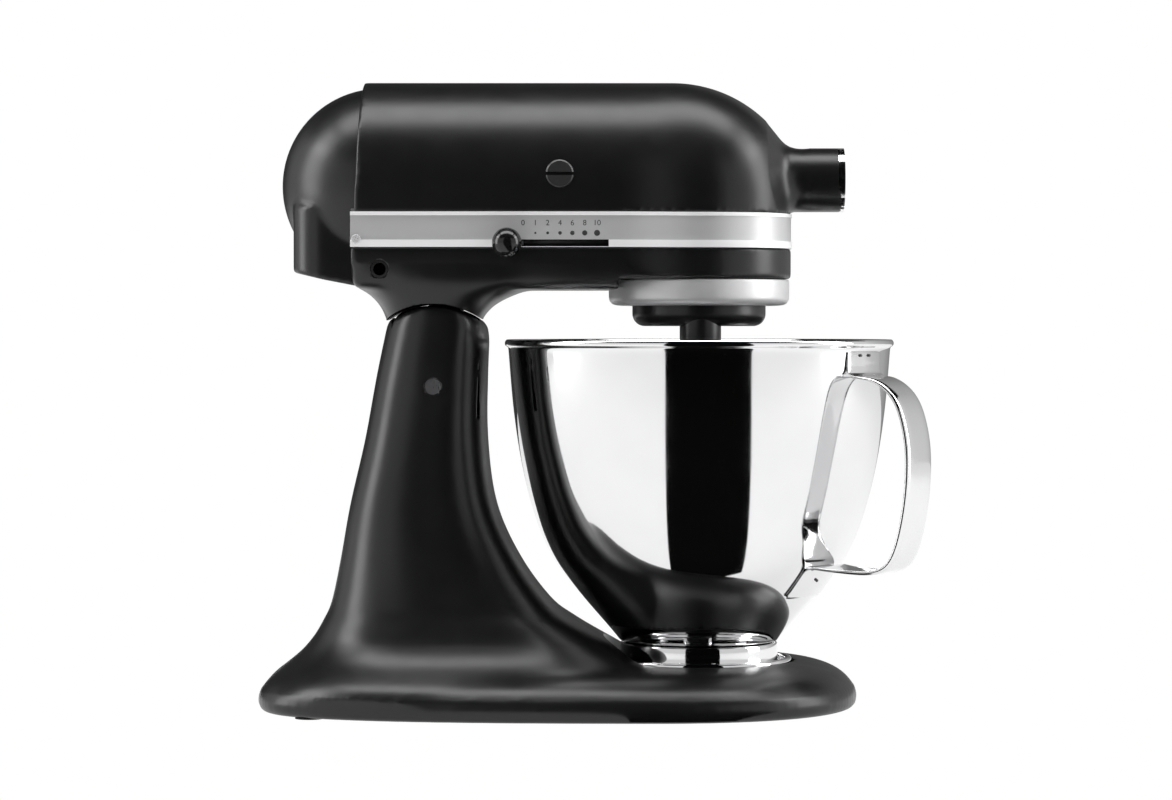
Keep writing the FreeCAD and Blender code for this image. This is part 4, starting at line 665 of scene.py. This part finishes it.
foot_height = bowl_floor.z / MM - lowest("bowl_foot_ring").z / MM
foot_outline = [
    (44.3, foot_height), (44.7, foot_height - 1.2), (44.9, foot_height - 3), (45.0, 6.5), (45.2, 3.6),
    (46.0, 1.6), (46.2, 0.6), (45.9, 0.05), (43, 0.05), (42.4, 0.8), (42.9, 2.4), (43.1, 6.5),
    (43.0, foot_height - 3), (42.6, foot_height - 1.8), (40, foot_height - 1.4), (31, foot_height - 1.4),
    (30.2, foot_height - 0.7), (31, foot_height),
]
foot_place = lowest("bowl_foot_ring")
foot_place.x, foot_place.y = bowl_axis.x, bowl_axis.y
turned("bowl_foot", "bowl", steel, foot_outline, foot_place, ["bowl_foot_ring"])

# ---- Bowl handle ----------------------------------------------------------------------------------------
# One steel strap with its long edges hemmed inwards. Its ends lie flat on the bowl's side, the upper one
# under the rim, and each is held by spot welds.

HANDLE_TURN = math.radians(-34)
STRAP_WIDTH, STRAP_THICKNESS, PLATE_WIDER = 28.0, 1.4, 0.3
# radius from the bowl's axis, and height
strap_route = [
    (108.9, 202), (108.9, 197), (108.8, 192.5), (109.6, 189.4), (113, 188.2), (119, 187.6), (126, 184.6),
    (132.5, 179), (137.2, 171.5), (140.6, 161), (142.6, 149), (142.9, 136), (142, 123), (139.8, 109),
    (136.5, 96), (132.5, 87), (127, 81.6), (119, 79.2), (110, 78.8), (100, 79.4), (92, 80.4), (86.4, 81.4),
    (82.6, 80.2), (79.2, 76.0), (74.2, 69.2), (69.8, 63.9),
]
plate_rows_top, plate_rows_low, lifting_rows = 3, 4, 3
# across the strap, as a share of half its width, and how far in
hem = [(-1.0, 2.3), (-0.97, 1.1), (-0.9, 0.3), (-0.75, 0.0), (-0.35, 0.0), (0.0, 0.0),
       (0.35, 0.0), (0.75, 0.0), (0.9, 0.3), (0.97, 1.1), (1.0, 2.3)]


def free_share(row):
    """0 where the strap lies on the bowl, 1 where it stands free."""
    from_top = (row - plate_rows_top) / lifting_rows
    from_low = (len(strap_route) - 1 - plate_rows_low - row) / lifting_rows
    share = min(max(min(from_top, from_low), 0), 1)
    return share * share * (3 - 2 * share)


def on_handle_side(bm):
    """Turn a bmesh to the handle's side, and move it to the bowl's axis."""
    bmesh.ops.rotate(bm, verts=bm.verts, cent=(0, 0, 0), matrix=Matrix.Rotation(HANDLE_TURN, 3, "Z"))
    bmesh.ops.translate(bm, vec=(bowl_axis.x, bowl_axis.y, 0), verts=bm.verts)


outer_skin = [Vector((across * STRAP_WIDTH / 2, fold)) for across, fold in hem]
inner_skin = []
for before, point, after in zip(outer_skin[:1] + outer_skin, outer_skin, outer_skin[1:] + outer_skin[-1:]):
    run = (after - before).normalized()
    inner_skin.append(point + STRAP_THICKNESS * Vector((-run.y, run.x)))
ROUTE_STEPS = 3
route = between(strap_route, ROUTE_STEPS)
strap_rings = []
for i, (radius, height) in enumerate(route):
    along = (Vector(route[min(i + 1, len(route) - 1)]) - Vector(route[max(i - 1, 0)])).normalized()
    inward = Vector((along.y, -along.x))
    free = free_share(i / ROUTE_STEPS)
    skins = [(point.x, point.y * free) for point in outer_skin]
    skins += [(point.x, point.y * free + STRAP_THICKNESS * (1 - free)) for point in reversed(inner_skin)]
    ring = []
    for side, depth in skins:
        side *= 1 + PLATE_WIDER * (1 - free)
        spot = Vector((radius - (1 - free) * side ** 2 / (2 * radius), height)) + inward * depth
        ring.append(Vector((spot.x, side, spot.y)))
    strap_rings.append(ring)
strap = bmesh.new()
skinned(strap, strap_rings)
on_handle_side(strap)
handle_steel, handle_shader = new_material("handle_steel", Metallic=1.0)
tint(handle_steel, handle_shader, pattern(handle_steel, 25 * MM), (0.80, 0.80, 0.805), (0.86, 0.86, 0.865))
vary(handle_steel, handle_shader, "Roughness", pattern(handle_steel, 9 * MM), 0.07, 0.13)
finished(strap, "handle_strap", "bowl", handle_steel, ["bowl_handle"], smooth=1)
WELD_RADIUS = 0.9
welds = bmesh.new()
for side, radius, height in ((-6.5, 109.0, 199.5), (2.5, 109.3, 199.5), (-1.5, 78.4, 74.2)):
    bmesh.ops.create_uvsphere(welds, u_segments=16, v_segments=8, radius=WELD_RADIUS * MM,
                              matrix=Matrix.Translation(Vector((radius, side, height)) * MM))
on_handle_side(welds)
weld_grey, weld_shader = new_material("weld_mark", Metallic=0.8)
tint(weld_grey, weld_shader, pattern(weld_grey, 1 * MM), (0.12, 0.12, 0.12), (0.2, 0.2, 0.2))
vary(weld_grey, weld_shader, "Roughness", pattern(weld_grey, 0.5 * MM), 0.4, 0.6)
finished(welds, "weld_marks", "bowl", weld_grey, smooth=0)

# ---- Drip ring and planet carrier ---------------------------------------------------------------------
# The ring is spun aluminium with a brushed outside, pushed up over the gear case. The carrier below it is a
# casting in the same black enamel, and its boss holds the beater shaft.

brushed, brushed_shader = new_material("brushed_aluminium", Metallic=0.5)
tint(brushed, brushed_shader, pattern(brushed, 9 * MM), (0.70, 0.70, 0.705), (0.78, 0.78, 0.785))
vary(brushed, brushed_shader, "Roughness", pattern(brushed, 0.5 * MM, (0.02, 0.02, 1)), 0.4, 0.48)
relief(brushed, brushed_shader, pattern(brushed, 0.3 * MM, (0.02, 0.02, 1)), 0.0008 * MM)
ring_place = lowest("drip_ring")
ring_top = (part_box("drip_ring")[1][2] - ring_place.z) / MM
ring_outline = [
    (44.4, ring_top - 0.2), (44.4, 6), (42, 4.4), (39.6, 3.2), (39.3, 1.2), (40.2, 0.05), (44, 0.05),
    (48.2, 0.4), (50.2, 1.6), (51.1, 3.4), (51.3, 5), (51.3, 9), (51.3, ring_top - 1), (51.1, ring_top - 0.2),
    (48, ring_top - 0.1),
]
turned("spun_ring", "head", brushed, ring_outline, ring_place, ["drip_ring"])
clad(satin_enamel("carrier_enamel", (0.006, 0.006, 0.0062), 0.5), "planet_carrier")

# ---- Levers, brush caps and thumb screw ------------------------------------------------------------------
# The lever balls, the thumb screw, the brush holders and the fan are moulded in glossy black plastic, and the
# brush caps in a duller one. The balls are pushed on, and the caps and the thumb screw are screwed in.

gloss_black, gloss_shader = new_material("glossy_black_plastic", Specular_IOR_Level=0.5)
tint(gloss_black, gloss_shader, pattern(gloss_black, 8 * MM), (0.004, 0.004, 0.004), (0.007, 0.007, 0.007))
vary(gloss_black, gloss_shader, "Roughness", pattern(gloss_black, 3 * MM), 0.1, 0.16)
relief(gloss_black, gloss_shader, pattern(gloss_black, 1.5 * MM), 0.004 * MM)
clad(gloss_black, "brush_holders", "cooling_fan", "hub_knob")
cap_black, cap_shader = new_material("cap_plastic", Specular_IOR_Level=0.5)
tint(cap_black, cap_shader, pattern(cap_black, 4 * MM), (0.02, 0.02, 0.02), (0.03, 0.03, 0.03))
vary(cap_black, cap_shader, "Roughness", pattern(cap_black, 2 * MM), 0.32, 0.4)
clad(cap_black, "brush_caps")
knob_outline = [(0, 9.4), (2.6, 9.2), (5.2, 8.0), (7.4, 5.4), (8.3, 2.2), (8.35, -1.0), (7.4, -4.4),
                (5.6, -6.4), (4.2, -7.2), (3.5, -7.6), (3.4, -8.4), (3.4, -9.4), (2.4, -9.6), (0, -9.6)]
KNOB_IN = 8.2
for knob, body, outward in (("speed_lever_knob", "speed_lever", -1), ("lock_lever_knob", "lock_lever", 1)):
    low, high = (Vector(corner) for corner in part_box(knob))
    knob_centre = (low + high) / 2
    knob_centre.y = (low.y if outward < 0 else high.y) - outward * KNOB_IN * MM
    turned(knob + "_ball", body, gloss_black, knob_outline, knob_centre, [knob],
           along=(0, outward, 0), steps=24)

# ---- Trim band and dial ------------------------------------------------------------------------------
# A strip of satin anodised aluminium, let in round the head, with a bright lip along each edge. The speed
# numbers and the growing dots are printed on it in dark grey.

TOP_LIP, LOW_LIP = 2.05, 4.05
satin, satin_shader = new_material("satin_strip")
satin_nodes, satin_links = satin.node_tree.nodes, satin.node_tree.links
heights = satin_nodes.new("ShaderNodeSeparateXYZ")
satin_links.new(satin_nodes.new("ShaderNodeTexCoord").outputs["Object"], heights.inputs["Vector"])
lips = []
for compare, level in (("GREATER_THAN", band_high.z - TOP_LIP), ("LESS_THAN", band_low.z + LOW_LIP)):
    lip_here = satin_nodes.new("ShaderNodeMath")
    lip_here.operation = compare
    lip_here.inputs[1].default_value = level * MM
    satin_links.new(heights.outputs["Z"], lip_here.inputs[0])
    lips.append(lip_here.outputs["Value"])
either_lip = satin_nodes.new("ShaderNodeMath")
either_lip.operation = "MAXIMUM"
for lip, socket in zip(lips, either_lip.inputs):
    satin_links.new(lip, socket)
on_lips = either_lip.outputs["Value"]
tint(satin, satin_shader, on_lips, (0.60, 0.60, 0.605), (0.93, 0.93, 0.935))
vary(satin, satin_shader, "Metallic", on_lips, 0.4, 0.15)
vary(satin, satin_shader, "Roughness", pattern(satin, 0.25 * MM, (0.02, 0.02, 1)), 0.34, 0.46)
relief(satin, satin_shader, pattern(satin, 0.2 * MM, (0.02, 0.02, 1)), 0.004 * MM)
clad(satin, "trim_band")

print_grey, print_shader = new_material("printed_ink", Specular_IOR_Level=0.3)
tint(print_grey, print_shader, pattern(print_grey, 1 * MM), (0.03, 0.03, 0.03), (0.05, 0.05, 0.05))
vary(print_grey, print_shader, "Roughness", pattern(print_grey, 0.5 * MM), 0.5, 0.65)
face_y = (band_low.y + 0.5) * MM
number_height, ink = 3.1 * MM, 0.04 * MM
FONT_SHARE = 1.38
number_one, number_step = -33.0 * MM, 6.8 * MM
NUMBERS_DOWN, DOTS_DOWN = 7.6, 11.8


def on_dial(place, down):
    """Where a mark stands on the band's face, so many millimetres below its top."""
    spot = (number_one + (place - 1) * number_step, face_y - ink / 2, (band_high.z - down) * MM)
    return Matrix.Translation(spot) @ Matrix.Rotation(math.radians(90), 4, "X")


numbers = bmesh.new()
for place, number in enumerate(("0", "1", "2", "4", "6", "8", "10")):
    words = bpy.data.curves.new("number", "FONT")
    words.body = number
    words.size = number_height * FONT_SHARE
    words.align_x = "CENTER"
    words.extrude = ink / 2
    flat = bpy.data.objects.new("number", words)
    glyph = bpy.data.meshes.new_from_object(flat)
    glyph.transform(on_dial(place, NUMBERS_DOWN))
    numbers.from_mesh(glyph)
    bpy.data.objects.remove(flat)
finished(numbers, "dial_numbers", "head", print_grey, smooth=0)
dots = bmesh.new()
for place in range(1, 7):
    dot_radius = (0.35 + 0.22 * place) * MM
    bmesh.ops.create_cone(dots, cap_ends=True, segments=24, radius1=dot_radius, radius2=dot_radius * 0.97,
                          depth=ink, matrix=on_dial(place, DOTS_DOWN))
finished(dots, "dial_dots", "head", print_grey, smooth=0)

# ---- Hub -----------------------------------------------------------------------------------------------
# The attachment hub's hinged cap is turned from steel and polished, with the lathe's rings still on its face.

hub_centre = middle("hub_cover")
clad(polished("turned_cap", hub_centre, (0, 1, 1), 0.08, 0.16), "hub_cover")

# ---- Motor, gears and fasteners -------------------------------------------------------------------------
# What is inside the head, and the screws, pins and shafts: machined steel, bronze bushes and worm wheel,
# copper windings, stacked laminations, carbon brushes, cast brackets and the speed board.


def machined(name, dark, light, low, high, grain, stretch=(1, 1, 1), metallic=1.0):
    """A cut or cast finish between two shades and two values of roughness, with a grain drawn out one way."""
    material, shader = new_material(name, Metallic=metallic)
    tint(material, shader, pattern(material, 7 * MM), dark, light)
    vary(material, shader, "Roughness", pattern(material, grain, stretch), low, high)
    relief(material, shader, pattern(material, grain, stretch), 0.006 * MM)
    return material


clad(machined("machined_steel", (0.48, 0.48, 0.5), (0.58, 0.58, 0.6), 0.25, 0.4, 0.4 * MM, (1, 1, 0.1)),
     "clamp_plate_screws", "hinge_pin", "hinge_pin_set_screw", "lock_catch", "rear_cover_screw",
     "housing_screws", "armature_shaft", "worm", "front_bearing", "rear_bearing",
     "hub_cover_pin", "ring_gear", "drive_pinion", "pinion_shaft", "centre_gear", "centre_bevel_gear",
     "centre_shaft", "carrier_pin", "planet_pinion", "beater_shaft", "attachment_pin", "beater_shaft_washer",
     "hub_bevel_gear", "hub_drive_socket", "speed_lever_link", "lock_lever_link", "brush_springs")
clad(machined("zinc_screws", (0.7, 0.7, 0.71), (0.8, 0.8, 0.81), 0.25, 0.35, 0.6 * MM, metallic=0.4),
     "trim_band_screws")
clad(machined("stacked_laminations", (0.16, 0.16, 0.17), (0.26, 0.26, 0.27), 0.4, 0.6, 0.6 * MM,
              (1, 0.02, 0.02)), "armature_core", "motor_stator")
clad(machined("copper_winding", (0.62, 0.28, 0.14), (0.75, 0.38, 0.2), 0.25, 0.4, 0.5 * MM, (0.05, 1, 1)),
     "commutator", "stator_coils")
clad(machined("bronze", (0.5, 0.34, 0.14), (0.62, 0.44, 0.2), 0.3, 0.45, 0.8 * MM),
     "worm_wheel", "centre_shaft_bush", "hub_bush", "beater_shaft_bush")
clad(machined("cast_aluminium", (0.45, 0.45, 0.46), (0.56, 0.56, 0.57), 0.5, 0.65, 1.2 * MM),
     "front_bearing_bracket", "rear_bearing_bracket")
clad(machined("carbon", (0.02, 0.02, 0.02), (0.04, 0.04, 0.04), 0.5, 0.7, 0.6 * MM, metallic=0.0),
     "carbon_brushes")
clad(machined("circuit_board", (0.05, 0.12, 0.05), (0.07, 0.16, 0.07), 0.4, 0.5, 2 * MM, metallic=0.0),
     "speed_control_board")

# ---- Floor, lights and reflections --------------------------------------------------------------------
# A wide white table, with a long soft light overhead and one at each shoulder and each end of the mixer. A
# dark screen and ceiling and a grey back card are seen in reflections only.

STAGE_SIZE = 60.0


def seen_white(material, gloss, other):
    """White to the camera and nearly so in reflections, but plain to every other ray."""
    nodes, links = material.node_tree.nodes, material.node_tree.links
    path = nodes.new("ShaderNodeLightPath")
    camera_rays = nodes.new("ShaderNodeMix")
    camera_rays.inputs["A"].default_value = other
    camera_rays.inputs["B"].default_value = 1.0
    glossy_rays = nodes.new("ShaderNodeMix")
    glossy_rays.inputs["B"].default_value = gloss
    links.new(path.outputs["Is Camera Ray"], camera_rays.inputs["Factor"])
    links.new(path.outputs["Is Glossy Ray"], glossy_rays.inputs["Factor"])
    links.new(camera_rays.outputs["Result"], glossy_rays.inputs["A"])
    return glossy_rays.outputs["Result"]


world = bpy.data.worlds.new("studio")
world.use_nodes = True
background = world.node_tree.nodes["Background"]
background.inputs["Color"].default_value = (1, 1, 1, 1)
world.node_tree.links.new(seen_white(world, 0.7, 0.45), background.inputs["Strength"])
bpy.context.scene.world = world

table_white, table_shader = new_material("table_white", Base_Color=(0.8, 0.8, 0.8, 1), Roughness=0.9,
                                         Specular_IOR_Level=0.0)
table_nodes, table_links = table_white.node_tree.nodes, table_white.node_tree.links
glow = table_nodes.new("ShaderNodeEmission")
glow_share = table_nodes.new("ShaderNodeMixShader")
table_links.new(table_shader.outputs["BSDF"], glow_share.inputs[1])
table_links.new(glow.outputs["Emission"], glow_share.inputs[2])
table_links.new(seen_white(table_white, 0.7, 0.0), glow_share.inputs["Fac"])
table_links.new(glow_share.outputs["Shader"], table_nodes["Material Output"].inputs["Surface"])
table = bmesh.new()
bmesh.ops.create_grid(table, x_segments=1, y_segments=1, size=STAGE_SIZE / 2)
table_top = placed(table, "table")
table_top.data.materials.append(table_white)


def soft_light(name, place, aim, width, height, power):
    """A rectangular lamp that faces a point."""
    lamp = bpy.data.lights.new(name, "AREA")
    lamp.shape = "RECTANGLE"
    lamp.size = width
    lamp.size_y = height
    lamp.energy = power
    holder = bpy.data.objects.new(name, lamp)
    holder.location = place
    holder.rotation_euler = (Vector(aim) - Vector(place)).to_track_quat("-Z", "Y").to_euler()
    bpy.context.scene.collection.objects.link(holder)


soft_light("overhead", (0.0, -0.15, 1.7), (0, -0.05, 0.3), 2.2, 0.7, 26)
for name, side in (("tail", -1), ("nose", 1)):
    soft_light(name + "_shoulder", (1.42 * side, -0.14, 1.38), (0, -0.05, 0.3), 0.7, 0.6, 6)
    soft_light(name + "_end", (1.7 * side, -0.12, 0.62), (0, 0, 0.25), 0.7, 1.4, 13)

def card(bm, name, paint):
    """A stage card that only reflections show."""
    shade = placed(bm, name)
    shade.data.materials.append(paint)
    shade.visible_camera = False
    shade.visible_diffuse = False
    shade.visible_shadow = False


# the screen stands behind the camera, at the end of a dark strip that widens from the bowl along the table
screen_paint = new_material("screen_black", Base_Color=(0.002, 0.002, 0.002, 1), Roughness=1.0,
                            Specular_IOR_Level=0.0)[0]
strip_start, strip_end, strip_height, screen_height = 0.1, 2.4, 0.002, 2.2
tail_spread, nose_spread = -math.tan(math.radians(21)), math.tan(math.radians(28.5))
screen = bmesh.new()
corners = [screen.verts.new((bowl_axis.x + spread * reach, -reach, strip_height))
           for spread, reach in ((tail_spread, strip_start), (nose_spread, strip_start),
                                 (nose_spread, strip_end), (tail_spread, strip_end))]
screen.faces.new(corners)
back_edge = next(edge for edge in screen.edges if corners[2] in edge.verts and corners[3] in edge.verts)
raised = bmesh.ops.extrude_edge_only(screen, edges=[back_edge])
bmesh.ops.translate(screen, vec=(0, 0, screen_height),
                    verts=[item for item in raised["geom"] if isinstance(item, bmesh.types.BMVert)])
card(screen, "dark_screen", screen_paint)
CEILING_HALF, CEILING_HEIGHT = 2.6, 2.0
ceiling = bmesh.new()
bmesh.ops.create_grid(ceiling, x_segments=1, y_segments=1, size=CEILING_HALF,
                      matrix=Matrix.Translation((0, 0, CEILING_HEIGHT)))
card(ceiling, "dark_ceiling", screen_paint)

# the back card is darkest behind the mixer, and grows paler to both sides
BACK_HALF, BACK_Y, BACK_MIDDLE = 5, 2.2, 4.9
grey_paint, grey_shader = new_material("screen_grey", Base_Color=(0, 0, 0, 1), Roughness=1.0,
                                       Specular_IOR_Level=0.0, Emission_Strength=1.0)
grey_nodes, grey_links = grey_paint.node_tree.nodes, grey_paint.node_tree.links
across_back = grey_nodes.new("ShaderNodeSeparateXYZ")
share_across = grey_nodes.new("ShaderNodeMapRange")
share_across.inputs["From Min"].default_value = -BACK_HALF
share_across.inputs["From Max"].default_value = BACK_HALF
fade = grey_nodes.new("ShaderNodeValToRGB")
for place, tone in ((0.2, 0.6), (0.34, 0.04), (0.5, 0.04), (0.53, 0.16), (0.66, 0.4)):
    fade.color_ramp.elements.new(place).color = (tone, tone, tone, 1)
for end in (0, -1):
    fade.color_ramp.elements[end].color = (0.7, 0.7, 0.7, 1)
grey_links.new(grey_nodes.new("ShaderNodeTexCoord").outputs["Object"], across_back.inputs["Vector"])
grey_links.new(across_back.outputs["X"], share_across.inputs["Value"])
grey_links.new(share_across.outputs["Result"], fade.inputs["Fac"])
grey_links.new(fade.outputs["Color"], grey_shader.inputs["Emission Color"])
back = bmesh.new()
stood_up = Matrix.Rotation(math.radians(90), 4, "X")
bmesh.ops.create_grid(back, x_segments=1, y_segments=1, size=BACK_HALF,
                      matrix=Matrix.Translation((0, BACK_Y, BACK_MIDDLE)) @ stood_up)
card(back, "grey_back", grey_paint)

bpy.context.scene.view_settings.view_transform = "Standard"
